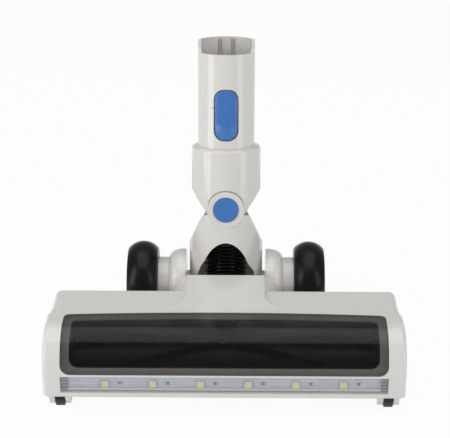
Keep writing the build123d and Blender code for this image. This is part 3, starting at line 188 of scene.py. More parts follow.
studio_room = bpy.data.worlds.new("studio_room")
bpy.context.scene.world = studio_room
studio_room.use_nodes = True
studio_room.node_tree.nodes["Background"].inputs["Color"].default_value = linear(ROOM_TONE)
studio_room.node_tree.nodes["Background"].inputs["Strength"].default_value = ROOM_LEVEL
for name, turn, wide, watts in STRIPS:
    foot = Vector((math.sin(math.radians(turn)), -math.cos(math.radians(turn)), 0)) * STRIP_AWAY
    middle = foot + Vector((0, 0, STRIP_HIGH / 2))
    add_softbox(name, middle, (-foot).to_track_quat("-Z", "Y"), wide, STRIP_HIGH, watts, True)
for name, place, wide, tall, watts, mirrored in PANELS:
    add_softbox(name, place, Vector(place).to_track_quat("Z", "Y"), wide, tall, watts, mirrored)

# White shells: top housing and sole of the head, the fork and collar of the neck and the wand socket, which
# are screwed or snapped together. Injection moulded ABS from polished tools: glossy, with a faint orange
# peel and slightly uneven gloss.
MM = 0.001
WHITE_ABS = "#e4e1dc"
WHITE_ABS_SHADE = "#dfdcd6"
ABS_IOR = 1.53
PEEL_SIZE = 1.4 * MM
PEEL_DEPTH = 0.02 * MM
CLOUD_SIZE = 26 * MM
GLOSS_SPREAD = 0.15
SEAM_ROUND = 0.3 * MM
ROUND_STEPS = 2
EDGE_ANGLE = math.radians(40)
FLAT_ANGLE = math.radians(0.2)
MERGE_GAP = 0.002 * MM
MIX_FACTOR, MIX_FIRST, MIX_SECOND, MIX_RESULT = 0, 6, 7, 2  # the colour sockets of a Mix node


def lay_surface(tree, pattern, colour, shade, roughness, spread, bump, values):
    """The shader of a finish: a pattern varies its tone and gloss, and a bump node gives its relief."""
    tint = add_node(tree, "Mix", {
        MIX_FACTOR: pattern, MIX_FIRST: linear(colour), MIX_SECOND: linear(shade)}, data_type="RGBA")
    gloss = add_node(tree, "MapRange", {
        "Value": pattern, "To Min": roughness * (1 - spread), "To Max": roughness * (1 + spread)})
    shader = add_node(tree, "BsdfPrincipled", {
        "Base Color": tint.outputs[MIX_RESULT], "Roughness": gloss.outputs[0], "Normal": bump.outputs[0],
        **values})
    add_node(tree, "OutputMaterial", {"Surface": shader.outputs[0]})


def moulded_plastic(name, colour, shade, roughness, peel, ior=ABS_IOR):
    """Moulded plastic: colour clouds a few centimetres wide, uneven gloss and a fine orange peel."""
    material = bare_material(name)
    tree = material.node_tree
    place = add_node(tree, "TexCoord").outputs["Object"]
    cloud = add_node(tree, "TexNoise", {"Vector": place, "Scale": 1 / CLOUD_SIZE, "Detail": 3.0})
    grain = add_node(tree, "TexNoise", {"Vector": place, "Scale": 1 / PEEL_SIZE, "Detail": 2.0})
    bump = add_node(tree, "Bump", {"Height": grain.outputs[0], "Strength": peel, "Distance": PEEL_DEPTH})
    lay_surface(tree, cloud.outputs[0], colour, shade, roughness, GLOSS_SPREAD, bump, {"IOR": ior})
    return material


def finish_node(material, *nodes):
    """Gives CAD nodes whose shape is right their finish."""
    for node in nodes:
        frame["nodes"][node].data.materials.clear()
        frame["nodes"][node].data.materials.append(material)


def pick_only(piece):
    """Selects one object alone and makes it the active one."""
    bpy.ops.object.select_all(action="DESELECT")
    piece.select_set(True)
    bpy.context.view_layer.objects.active = piece


def fit_piece(piece, body, slot, *nodes):
    """Hangs a finished piece on its body and hides the CAD nodes that it stands for; its slot is not used.
    """
    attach(piece, body)
    if nodes:
        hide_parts(*nodes)


def soften_node(node, body, slot, material, width, opening=None):
    """A merged copy of a CAD node, opened by a cutter if one is given, with a small round on its edges."""
    pick_only(frame["nodes"][node])
    bpy.ops.object.duplicate(linked=False)
    copy = bpy.context.object
    copy.name = node + "_shell"
    copy.data.name = node + "_shell"
    bpy.ops.mesh.customdata_custom_splitnormals_clear()
    bpy.ops.object.mode_set(mode="EDIT")
    bpy.ops.mesh.select_mode(type="VERT")
    bpy.ops.mesh.select_all(action="SELECT")
    bpy.ops.mesh.remove_doubles(threshold=MERGE_GAP)
    bpy.ops.mesh.dissolve_limited(angle_limit=FLAT_ANGLE)
    bpy.ops.object.mode_set(mode="OBJECT")
    if opening:
        cut = copy.modifiers.new("opening", "BOOLEAN")
        cut.object = opening
        cut.solver = "EXACT"
        bpy.ops.object.modifier_apply(modifier="opening")
    rounding = copy.modifiers.new("rounding", "BEVEL")
    rounding.width = width
    rounding.segments = ROUND_STEPS
    rounding.limit_method = "ANGLE"
    rounding.angle_limit = EDGE_ANGLE
    bpy.ops.object.modifier_apply(modifier="rounding")
    bpy.ops.object.shade_smooth_by_angle(angle=EDGE_ANGLE)
    level = copy.modifiers.new("level", "WEIGHTED_NORMAL")
    level.keep_sharp = True
    bpy.ops.object.modifier_apply(modifier="level")
    copy.data.materials.clear()
    copy.data.materials.append(material)
    fit_piece(copy, body, slot, node)


white_abs = moulded_plastic("moulded_white_abs", WHITE_ABS, WHITE_ABS_SHADE, roughness=0.14, peel=0.3)
for node in ("top_housing", "base_plate", "belt_cover", "bearing_cover"):
    soften_node(node, "head", "white_shell", white_abs, SEAM_ROUND)

# The fork's front half has its arch opened to the round crown that the photograph shows, by an oval bar
# that leans with the neck.
NECK_FOOT = Vector((0, 34.9276, 33.0)) * MM
NECK_LEAN = math.radians(12)
ARCH_TOP = 39.8 * MM
ARCH_HALF = 21.2 * MM
ARCH_TALL = 42.4 * MM
ARCH_DEEP = 60.0 * MM
ARCH_SIDES = 128


def set_in_neck(piece, place):
    """Leans the selected piece with the neck and moves its origin to a place, both into its mesh."""
    piece.rotation_euler = (-NECK_LEAN, 0, 0)
    piece.location = place
    bpy.ops.object.transform_apply(location=True, rotation=True, scale=True)


bpy.ops.object.select_all(action="DESELECT")
bpy.ops.mesh.primitive_cylinder_add(vertices=ARCH_SIDES, radius=1, depth=ARCH_DEEP,
                                    rotation=(math.pi / 2, 0, 0))
arch_cutter = bpy.context.object
arch_cutter.scale = (ARCH_HALF, ARCH_TALL, 1)
arch_cutter.location = (0, -ARCH_DEEP / 2, ARCH_TOP - ARCH_TALL)
bpy.ops.object.transform_apply(location=True, rotation=True, scale=True)
set_in_neck(arch_cutter, NECK_FOOT)
soften_node("yoke_front", "yoke", "white_shell", white_abs, SEAM_ROUND, arch_cutter)
bpy.data.objects.remove(arch_cutter)
soften_node("yoke_rear", "yoke", "white_shell", white_abs, SEAM_ROUND)
for node in ("collar_front", "collar_rear", "wand_tube"):
    soften_node(node, "upper_neck", "white_shell", white_abs, SEAM_ROUND)

# Inner mouldings: the brush chamber's rear wall and the suction funnel, in grey ABS from an etched tool,
# so they look matt and slightly grainy.
grey_abs = moulded_plastic("etched_grey_abs", "#a9aaa8", "#9d9f9d", roughness=0.55, peel=1.0)
finish_node(grey_abs, "chamber_liner", "suction_duct")

# Window: a curved cover of smoked acrylic, polished and snapped into the top housing. It is dark and smooth,
# and the roller and the white ledge under its edge show through it.
SMOKE_DENSE = 0.4
WINDOW_ROUND = 0.5 * MM


def tune_shader(material, socket, value):
    """Sets one socket of a material's shader."""
    material.node_tree.nodes["Principled BSDF"].inputs[socket].default_value = value


smoked_acrylic = moulded_plastic("polished_smoked_acrylic", "#0c1110", "#0a0e0d",
                                 roughness=0.07, peel=0.0, ior=1.45)
tune_shader(smoked_acrylic, "Alpha", SMOKE_DENSE)
soften_node("window", "head", "smoked_window", smoked_acrylic, WINDOW_ROUND)

# Light bar: a lens of clear polycarbonate, faintly blue, is clipped over a white circuit board with six
# square LEDs, each with a small chip resistor beside it. The board's mask is white and satin, with the
# copper tracks showing faintly.
LENS_CLEAR = 0.14
TRACK_LONG = 17.0
TRACK_APART = 2.7
TRACK_WIDE = 0.16
clear_pc = moulded_plastic("clear_polycarbonate", "#dfe2ea", "#d9dce6",
                           roughness=0.12, peel=0.15, ior=1.58)
tune_shader(clear_pc, "Alpha", LENS_CLEAR)
finish_node(clear_pc, "led_lens")

white_mask = moulded_plastic("white_solder_mask", "#b9bdcb", "#aeb3c2", roughness=0.3, peel=0.3)
tree = white_mask.node_tree
place = add_node(tree, "TexCoord").outputs["Object"]
facing = add_node(tree, "Mapping", {"Vector": place, "Rotation": (math.pi / 2, 0, 0)})
tracks = add_node(tree, "TexBrick", {
    "Vector": facing.outputs[0], "Scale": 1 / MM, "Brick Width": TRACK_LONG, "Row Height": TRACK_APART,
    "Mortar Size": TRACK_WIDE, "Mortar Smooth": 0.4,
    "Color1": linear("#d0d2da"), "Color2": linear("#c4c7d0"), "Mortar": linear("#999da8")})
tree.links.new(tracks.outputs["Color"], tree.nodes["Principled BSDF"].inputs["Base Color"])
finish_node(white_mask, "led_board")

# Each LED is a matt white nylon case with a well of pale yellow silicone, and three tinned leads at each
# side, which are bright and slightly mottled from the solder.
LED_COUNT = 6
LED_SIDE = 5.6 * MM
LED_THICK = 1.2 * MM
LED_RIM = 0.25 * MM
LED_WELL = 0.3 * MM
LED_WELL_ROUND = 0.6 * LED_WELL
LED_EDGE = 0.12 * MM
LEAD_LONG = 0.9 * MM
LEAD_THICK = 0.5 * MM
LEAD_WIDE = 5.0 * MM
LEAD_COUNT = 3
LEAD_SLOT = 0.85 * LEAD_LONG
SMOOTH_BELOW = math.radians(35)
FACING = 0.99
LEANING = 0.5
METAL_IOR = 1.5
ACROSS, BACK, UP = 0, 1, 2  # the axes, as seen from the front
led_low, led_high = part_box("led_chips")
led_half = (led_high.z - led_low.z) / 2
led_first = Vector((led_low.x + led_half, led_high.y, led_low.z + led_half))
led_pitch = (led_high.x - led_low.x - 2 * led_half) / (LED_COUNT - 1)


def plated_metal(name, colour, shade, roughness, mottle):
    """Plated metal: the clouds and grain of a moulded skin, on bare metal."""
    material = moulded_plastic(name, colour, shade, roughness, mottle, METAL_IOR)
    tune_shader(material, "Metallic", 1.0)
    return material


def start_block(name, size, place=(0, 0, 0)):
    """A block to be shaped: the cube is added at its size, and edit mode is on."""
    bpy.ops.object.select_all(action="DESELECT")
    bpy.ops.mesh.primitive_cube_add(size=1, location=place)
    block = bpy.context.object
    block.name = name
    block.data.name = name
    block.scale = size
    bpy.ops.object.transform_apply(location=True, rotation=True, scale=True)
    bpy.ops.object.mode_set(mode="EDIT")
    return block


def select_faces(test):
    """In edit mode, selects only the faces whose middle and normal pass the test."""
    bpy.ops.mesh.select_mode(type="FACE")
    bpy.ops.mesh.select_all(action="DESELECT")
    shape = bmesh.from_edit_mesh(bpy.context.object.data)
    for face in shape.faces:
        face.select_set(test(face.calc_center_median(), face.normal))
    bmesh.update_edit_mesh(bpy.context.object.data)


def slice_block(axis, places):
    """In edit mode, cuts the whole block square to an axis at each of the places."""
    normal = [float(i == axis) for i in range(3)]
    for place in places:
        bpy.ops.mesh.select_all(action="SELECT")
        bpy.ops.mesh.bisect(plane_co=[place * part for part in normal], plane_no=normal)


def end_block(block, *materials, smooth=0.0):
    """Leaves edit mode, gives the block its materials and, up to an angle, smooth shading."""
    bpy.ops.object.mode_set(mode="OBJECT")
    for material in materials:
        block.data.materials.append(material)
    if smooth:
        bpy.ops.object.shade_smooth_by_angle(angle=smooth)


def move_mesh(piece, step):
    """Moves a piece's mesh, and leaves its object at the origin."""
    pick_only(piece)
    piece.location = step
    bpy.ops.object.transform_apply(location=True, rotation=True, scale=True)


def copies_along_board(piece, word):
    """A piece and its copies, each with its own mesh, one for each LED along the board."""
    row = [piece]
    for i in range(1, LED_COUNT):
        pick_only(piece)
        bpy.ops.object.duplicate(linked=False)
        copy = bpy.context.object
        copy.name = f"{word}_{i + 1}"
        copy.data.name = copy.name
        move_mesh(copy, (i * led_pitch, 0, 0))
        row.append(copy)
    return row


led_case = moulded_plastic("white_led_housing", "#d8d8d2", "#cfcfc8", roughness=0.45, peel=0.2)
led_phosphor = moulded_plastic("yellow_phosphor_silicone", "#eeeaa0", "#e4e094",
                               roughness=0.3, peel=0.2, ior=1.41)
chip_tin = plated_metal("reflowed_tin", "#c3c5c9", "#b2b4b9", roughness=0.3, mottle=0.8)

led = start_block("led_1", (LED_SIDE, LED_THICK, LED_SIDE), (0, -LED_THICK / 2, 0))
bpy.ops.mesh.select_all(action="SELECT")
bpy.ops.mesh.bevel(offset=LED_EDGE, segments=2)
select_faces(lambda middle, normal: normal.y < -FACING)
bpy.ops.mesh.inset(thickness=LED_RIM)
bpy.ops.mesh.extrude_region_move(TRANSFORM_OT_translate={"value": (0, LED_WELL, 0)})
bpy.ops.mesh.bevel(offset=LED_WELL_ROUND, segments=2)
end_block(led, led_case, led_phosphor, smooth=SMOOTH_BELOW)
for face in led.data.polygons:
    inside = max(abs(face.center.x), abs(face.center.z)) < LED_SIDE / 2 - LED_RIM - LED_EDGE
    sunk = face.center.y > -LED_THICK + LED_WELL / 2 and face.normal.y < -LEANING
    face.material_index = 1 if inside and sunk else 0
lead_strips = 2 * LEAD_COUNT - 1
for side in (-1, 1):
    lead = start_block("led_lead", (LEAD_LONG, LEAD_THICK, LEAD_WIDE),
                       (side * (LED_SIDE + LEAD_LONG) / 2, -LEAD_THICK / 2, 0))
    slice_block(UP, [LEAD_WIDE * (i / lead_strips - 0.5) for i in range(1, lead_strips)])
    select_faces(lambda middle, normal: normal.x * side > FACING
                 and int((middle.z / LEAD_WIDE + 0.5) * lead_strips) % 2)
    bpy.ops.mesh.extrude_region_move(TRANSFORM_OT_translate={"value": (-side * LEAD_SLOT, 0, 0)})
    end_block(lead, chip_tin)
    led.select_set(True)
    bpy.context.view_layer.objects.active = led
    bpy.ops.object.join()
move_mesh(led, led_first)
for piece in copies_along_board(led, "led"):
    fit_piece(piece, "head", "led_phosphor", "led_chips")

# Each resistor is a ceramic chip with a dark grey, slightly shiny glaze, and its ends are swelled by tin.
RESISTOR_LONG = 3.8 * MM
RESISTOR_THICK = 0.6 * MM
RESISTOR_WIDE = 1.9 * MM
RESISTOR_END = 0.8 * MM
RESISTOR_OFF = 10.8 * MM
TIN_SWELL = 0.05 * MM
TIN_INNER = 0.9 * RESISTOR_END
resistor_low, resistor_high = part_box("led_resistors")
resistor_first = Vector((led_first.x + RESISTOR_OFF, resistor_high.y,
                         (resistor_low.z + resistor_high.z) / 2))
tin_from = RESISTOR_LONG / 2 - RESISTOR_END


def select_edges(test):
    """In edit mode, selects only the edges whose middle and direction pass the test."""
    bpy.ops.mesh.select_mode(type="EDGE")
    bpy.ops.mesh.select_all(action="DESELECT")
    shape = bmesh.from_edit_mesh(bpy.context.object.data)
    for edge in shape.edges:
        middle = (edge.verts[0].co + edge.verts[1].co) / 2
        edge.select_set(test(middle, (edge.verts[1].co - edge.verts[0].co).normalized()))
    bmesh.update_edit_mesh(bpy.context.object.data)


chip_ceramic = moulded_plastic("grey_chip_glaze", "#54575e", "#4a4d54", roughness=0.35, peel=0.3)
resistor = start_block("resistor_1", (RESISTOR_LONG, RESISTOR_THICK, RESISTOR_WIDE),
                       (0, -RESISTOR_THICK / 2, 0))
slice_block(ACROSS, (-tin_from, tin_from))
select_faces(lambda middle, normal: abs(middle.x) > tin_from and abs(normal.x) < FACING)
bpy.ops.mesh.extrude_region_shrink_fatten(TRANSFORM_OT_shrink_fatten={"value": TIN_SWELL})
select_edges(lambda middle, along: abs(middle.x) > RESISTOR_LONG / 2 - TIN_INNER)
bpy.ops.mesh.bevel(offset=TIN_SWELL, segments=2)
end_block(resistor, chip_ceramic, chip_tin, smooth=SMOOTH_BELOW)
for face in resistor.data.polygons:
    face.material_index = 1 if abs(face.center.x) > tin_from - TIN_SWELL / 2 else 0
move_mesh(resistor, resistor_first)
for piece in copies_along_board(resistor, "resistor"):
    fit_piece(piece, "head", "chip_ceramic", "led_resistors")

# Light bar ends: a ribbed block of moulded rubber, dull and grey, at each end of the board keeps it from
# rattling under the lens. The slots between its ribs show through the lens as dark lines.
PAD_LONG = 4.6 * MM
PAD_THICK = 1.6 * MM
PAD_SINK = 1.3 * MM
PAD_RIBS = 4
RUBBER_IOR = 1.5
board_low, board_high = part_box("led_board")
board_tall = board_high.z - board_low.z
board_middle = (board_low.z + board_high.z) / 2
pad_strips = 2 * PAD_RIBS - 1
soft_rubber = moulded_plastic("moulded_soft_rubber", "#8d9096", "#83868c",
                              roughness=0.6, peel=0.8, ior=RUBBER_IOR)
for side, word in ((-1, "left"), (1, "right")):
    outer = board_high.x if side > 0 else board_low.x
    pad = start_block(f"board_pad_{word}", (PAD_LONG, PAD_THICK, board_tall),
                      (outer - side * PAD_LONG / 2, board_low.y - PAD_THICK / 2, board_middle))
    slice_block(UP, [board_low.z + i * board_tall / pad_strips for i in range(1, pad_strips)])
    select_faces(lambda middle, normal: normal.y < -FACING
                 and int((middle.z - board_low.z) / board_tall * pad_strips) % 2)
    bpy.ops.mesh.extrude_region_move(TRANSFORM_OT_translate={"value": (0, PAD_SINK, 0)})
    end_block(pad, soft_rubber)
    fit_piece(pad, "head", "black_plastic")

# Light rail: a strip of the LED cases' matt white nylon under the LEDs, behind the lens, that throws their
# light to the front. It lies on the lens's foot against the board, and a groove runs along its face.
RAIL_TALL = 1.5 * MM
RAIL_GAP = 0.05 * MM
RAIL_ROUND = 0.25 * MM
RAIL_GROOVE = 0.2 * MM
LENS_THICK = 2.0 * MM
lens_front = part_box("led_lens")[0].y
rail_front = lens_front + LENS_THICK + RAIL_GAP
rail_deep = board_low.y - RAIL_GAP - rail_front
rail_long = board_high.x - board_low.x - 2 * PAD_LONG
rail_middle = board_low.z + RAIL_TALL / 2
rail = start_block("light_rail", (rail_long, rail_deep, RAIL_TALL),
                   (0, rail_front + rail_deep / 2, rail_middle))
select_edges(lambda middle, along: abs(along.x) > FACING and middle.z > rail_middle)
bpy.ops.mesh.bevel(offset=RAIL_ROUND, segments=2)
select_faces(lambda middle, normal: normal.y < -FACING)
bpy.ops.mesh.inset(thickness=RAIL_ROUND)
bpy.ops.mesh.extrude_region_move(TRANSFORM_OT_translate={"value": (0, RAIL_GROOVE, 0)})
end_block(rail, led_case, smooth=SMOOTH_BELOW)
fit_piece(rail, "head", "white_shell")

# Roller: a moulded core of dull black ABS between two steel pins, with four rows of black nylon tufts that
# wind to the middle from both ends. Each tuft is a small bundle of bristles set into the core, with a soft
# sheen; a bristle is drawn thicker than a real one, so that it shows.
BRUSH_REACH = 20.4 * MM
TUFT_ROOT = 13.6 * MM
TUFT_STEP = 1.9 * MM
TUFT_HALF = 108.6 * MM
TUFT_ROWS = 4
TUFT_TWIST = math.radians(100)
TWIST_OVER = 109.35 * MM
BRISTLE_SIDES = 4
BRISTLE_ROOT_R = 0.42 * MM
BRISTLE_TIP_R = 0.3 * MM
BRISTLE_BEND = 0.5 * MM
STRAND_SIZE = 1.2 * MM
BRISTLE_SPOTS = [
    # millimetres across and along the row
    (-0.5, -1.1), (0.45, -1.0), (-0.45, -0.15), (0.5, 0.1), (-0.5, 0.9), (0.4, 1.1)]
core_low, core_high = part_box("brush_core")
roller_middle = Vector((0, (core_low.y + core_high.y) / 2, (core_low.z + core_high.z) / 2))
tuft_length = BRUSH_REACH - TUFT_ROOT
tuft_count = int(TUFT_HALF / TUFT_STEP) - 1

black_abs = moulded_plastic("etched_black_abs", "#191b1c", "#141617", roughness=0.42, peel=0.6)
finish_node(black_abs, "brush_core")

bristle_nylon = bare_material("crimped_black_nylon")
tree = bristle_nylon.node_tree
place = add_node(tree, "TexCoord").outputs["Object"]
strand = add_node(tree, "TexNoise", {"Vector": place, "Scale": 1 / STRAND_SIZE, "Detail": 2.0})
tint = add_node(tree, "Mix", {
    MIX_FACTOR: strand.outputs[0], MIX_FIRST: linear("#0a0c0e"), MIX_SECOND: linear("#15181b")},
    data_type="RGBA")
shader = add_node(tree, "BsdfPrincipled", {
    "Base Color": tint.outputs[MIX_RESULT], "Roughness": 0.38, "IOR": 1.53})
add_node(tree, "OutputMaterial", {"Surface": shader.outputs[0]})

bpy.ops.object.select_all(action="DESELECT")
for i, (across, along) in enumerate(BRISTLE_SPOTS):
    bpy.ops.mesh.primitive_cone_add(
        vertices=BRISTLE_SIDES, radius1=BRISTLE_ROOT_R, radius2=BRISTLE_TIP_R, depth=tuft_length,
        location=(along * MM + TUFT_STEP, across * MM, TUFT_ROOT + tuft_length / 2))
    bpy.ops.object.mode_set(mode="EDIT")
    select_faces(lambda middle, normal: normal.z > FACING)
    bend = BRISTLE_BEND if i % 2 else BRISTLE_BEND / 2
    bpy.ops.transform.translate(value=(0, math.copysign(bend, across), 0))
    bpy.ops.object.mode_set(mode="OBJECT")
    bpy.ops.object.transform_apply(location=True, rotation=True, scale=True)
    if i:
        tufts.select_set(True)
        bpy.context.view_layer.objects.active = tufts
        bpy.ops.object.join()
    tufts = bpy.context.object
tufts.name = "brush_tufts"
tufts.data.name = "brush_tufts"
bpy.ops.object.empty_add(location=(TUFT_STEP, 0, 0), rotation=(TUFT_TWIST * TUFT_STEP / TWIST_OVER, 0, 0))
next_tuft = bpy.context.object
bpy.ops.object.empty_add(rotation=(2 * math.pi / TUFT_ROWS, 0, 0))
next_row = bpy.context.object
pick_only(tufts)
for name, count, offset in (("along", tuft_count, next_tuft), ("rows", TUFT_ROWS, next_row)):
    array = tufts.modifiers.new(name, "ARRAY")
    array.count = count
    array.use_relative_offset = False
    array.use_object_offset = True
    array.offset_object = offset
    bpy.ops.object.modifier_apply(modifier=name)
mirror = tufts.modifiers.new("other_half", "MIRROR")
mirror.use_mirror_merge = False
bpy.ops.object.modifier_apply(modifier="other_half")
bpy.data.objects.remove(next_tuft)
bpy.data.objects.remove(next_row)
move_mesh(tufts, roller_middle)
tufts.data.materials.append(bristle_nylon)
fit_piece(tufts, "brush", "bristle_nylon", "brush_bristles")

# Drive: a small can motor turns the roller through a dull, ribbed rubber belt. The pulleys and the roller's
# bushes are moulded acetal, which looks waxy. The motor can is drawn from bright sheet steel, and the shafts
# and pins of the whole head are ground steel, brighter still, with fine lines.
DRAW_LONG = 14 * MM
DRAW_FINE = 0.35 * MM  # coarser than real drawing lines, so that they show
LINE_SPREAD = 0.25
BELT_RIB = 0.8 * MM
BELT_RIB_DEEP = 0.2 * MM
RUBBER_SHINE = 0.22
WAVE_REPEAT = math.pi / 10  # a wave texture of scale 1 repeats over this length


def worked_metal(name, colour, shade, roughness, along):
    """Bare metal: fine lines along the way it was drawn, rolled or turned, in colour, gloss and height."""
    material = bare_material(name)
    tree = material.node_tree
    place = add_node(tree, "TexCoord").outputs["Object"]
    stretch = [1 / DRAW_LONG if axis == along else 1 / DRAW_FINE for axis in range(3)]
    lined = add_node(tree, "Mapping", {"Vector": place, "Scale": stretch})
    lines = add_node(tree, "TexNoise", {"Vector": lined.outputs[0], "Scale": 1.0, "Detail": 2.0})
    bump = add_node(tree, "Bump", {"Height": lines.outputs[0], "Strength": 0.25, "Distance": PEEL_DEPTH})
    lay_surface(tree, lines.outputs[0], colour, shade, roughness, LINE_SPREAD, bump, {"Metallic": 1.0})
    return material


def ribbed_rubber(name, colour, shade, roughness, spacing, height):
    """Rubber with moulded lines round it, side by side along X, and dull patches of dust."""
    material = bare_material(name)
    tree = material.node_tree
    place = add_node(tree, "TexCoord").outputs["Object"]
    dust = add_node(tree, "TexNoise", {"Vector": place, "Scale": 1 / CLOUD_SIZE, "Detail": 4.0})
    ribs = add_node(tree, "TexWave", {"Vector": place, "Scale": WAVE_REPEAT / spacing}, wave_type="BANDS",
                    bands_direction="X")
    bump = add_node(tree, "Bump", {"Height": ribs.outputs["Fac"], "Strength": 0.35, "Distance": height})
    lay_surface(tree, dust.outputs[0], colour, shade, roughness, GLOSS_SPREAD, bump,
                {"IOR": RUBBER_IOR, "Specular IOR Level": RUBBER_SHINE})
    return material


motor_steel = worked_metal("drawn_motor_steel", "#b4b6b8", "#9fa1a4", roughness=0.32, along=ACROSS)
finish_node(motor_steel, "motor_can")
shaft_steel = worked_metal("ground_steel", "#c2c4c6", "#b3b5b8", roughness=0.2, along=BACK)
finish_node(shaft_steel, "motor_shaft", "axle_left", "axle_right", "castor_pin_left", "castor_pin_right",
            "pivot_pin_front", "pivot_pin_rear")
acetal = moulded_plastic("natural_acetal", "#c9c8c0", "#bfbeb5", roughness=0.38, peel=0.2, ior=1.48)
finish_node(acetal, "brush_bush_left", "brush_bush_right", "brush_pulley", "motor_pulley")
belt_rubber = ribbed_rubber("ribbed_belt_rubber", "#1d1e1f", "#161718",
                            roughness=0.6, spacing=BELT_RIB, height=BELT_RIB_DEEP)
finish_node(belt_rubber, "drive_belt")

# Rear wheels: soft black tyres on hubs of the roller's dull black ABS, on steel axles with black end caps.
# The tyre is moulded with faint lines round it and has a satin skin.
TYRE_LINE = 1.5 * MM
TYRE_LINE_DEEP = 0.02 * MM
tyre_rubber = ribbed_rubber("satin_tyre_rubber", "#0c0f0f", "#121616",
                            roughness=0.3, spacing=TYRE_LINE, height=TYRE_LINE_DEEP)
finish_node(tyre_rubber, "tyre_left", "tyre_right")
finish_node(black_abs, "hub_left", "hub_right", "axle_cap_left", "axle_cap_right")

# Front castors: two plain wheels of moulded black nylon, which looks dull and a little grainy. They turn on
# steel pins under the front corners.
castor_nylon = moulded_plastic("moulded_black_nylon", "#2b2d2e", "#232526", roughness=0.5, peel=0.5)
finish_node(castor_nylon, "castor_left", "castor_right")

# Screws: pan heads that hold the sole, the motor and the halves of the neck. They are zinc plated steel,
# which leaves them bright with a slightly mottled grey.
zinc_plate = plated_metal("mottled_zinc_plate", "#c0c2c4", "#a9acb0", roughness=0.3, mottle=0.6)
finish_node(zinc_plate, "base_screws", "motor_screws", "yoke_screws", "collar_screw")

# Swivel caps: blue discs pressed over the swivel pins at the front and back of the neck. They are moulded
# in glossy ABS, like the release button.
blue_abs = moulded_plastic("moulded_blue_abs", "#3f78c0", "#3a71b8", roughness=0.24, peel=0.3)
finish_node(blue_abs, "pivot_cap_front", "pivot_cap_rear")

# Release button: a long blue cap that follows the socket's round, with soft edges and a raised spot for the
# thumb near its lower end. It is moulded in glossy ABS and rocks on two small pins.
BUTTON_MIDDLE = 137.3 * MM
BUTTON_WIDE = 17.5 * MM
BUTTON_LONG = 38.1 * MM
BUTTON_THICK = 2.6 * MM
BUTTON_CORNER = 7.4 * MM
BUTTON_FACE_R = 22.6 * MM
BUTTON_EDGE = 1.3 * MM
BUTTON_PARTS_WIDE = 20
BUTTON_PARTS_LONG = 38
THUMB_HIGH = 1.5 * MM
THUMB_SPOT = (-0.5 * MM, -10.0 * MM)
THUMB_REACH = 8.0 * MM
neck_up = Vector((0, math.sin(NECK_LEAN), math.cos(NECK_LEAN)))

button = start_block("release_button_cap", (BUTTON_WIDE, BUTTON_THICK, BUTTON_LONG))
select_edges(lambda middle, along: abs(along.y) > FACING)
bpy.ops.mesh.bevel(offset=BUTTON_CORNER, segments=10)
select_faces(lambda middle, normal: normal.y < -FACING)
bpy.ops.mesh.bevel(offset=BUTTON_EDGE, segments=4)
slice_block(ACROSS, [(i - BUTTON_PARTS_WIDE / 2) * BUTTON_WIDE / BUTTON_PARTS_WIDE
                     for i in range(1, BUTTON_PARTS_WIDE)])
slice_block(UP, [(i - BUTTON_PARTS_LONG / 2) * BUTTON_LONG / BUTTON_PARTS_LONG
                 for i in range(1, BUTTON_PARTS_LONG)])
bpy.ops.object.mode_set(mode="OBJECT")
for point in button.data.vertices:
    off = math.hypot(point.co.x - THUMB_SPOT[0], point.co.z - THUMB_SPOT[1]) / THUMB_REACH
    if off < 1 and point.co.y < 0:
        point.co.y -= THUMB_HIGH * (0.5 + 0.5 * math.cos(math.pi * off))
    depth = BUTTON_FACE_R - BUTTON_THICK / 2 - point.co.y
    turn = math.asin(point.co.x / BUTTON_FACE_R)
    point.co.x = depth * math.sin(turn)
    point.co.y = -depth * math.cos(turn)
end_block(button, blue_abs, smooth=EDGE_ANGLE)
set_in_neck(button, NECK_FOOT + neck_up * BUTTON_MIDDLE)
fit_piece(button, "button", "blue_plastic", "release_button")

# Leaf spring: a strip of tempered steel behind the button, dark and slightly blue. Its foot is held in a
# slot of the socket's wall, and the rest of it lies behind the button.
LEAF_FOOT = 114.2 * MM
LEAF_LONG = 22.8 * MM
LEAF_WIDE = 6.0 * MM
LEAF_THICK = 0.3 * MM
LEAF_DEPTH = 19.45 * MM
LEAF_CORNER = 1.6 * MM
LEAF_PARTS = 12
neck_back = Vector((0, math.cos(NECK_LEAN), -math.sin(NECK_LEAN)))
leaf_foot = NECK_FOOT + neck_up * LEAF_FOOT - neck_back * (LEAF_DEPTH + LEAF_THICK / 2)
spring_steel = worked_metal("tempered_spring_steel", "#7f858d", "#6c727b", roughness=0.3, along=UP)
leaf = start_block("button_leaf", (LEAF_WIDE, LEAF_THICK, LEAF_LONG), (0, 0, LEAF_LONG / 2))
select_edges(lambda middle, along: abs(along.y) > FACING and middle.z > LEAF_LONG / 2)
bpy.ops.mesh.bevel(offset=LEAF_CORNER, segments=4)
slice_block(UP, [i * LEAF_LONG / LEAF_PARTS for i in range(1, LEAF_PARTS)])
end_block(leaf, spring_steel, smooth=SMOOTH_BELOW)
set_in_neck(leaf, leaf_foot)
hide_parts("button_spring")
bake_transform(leaf)

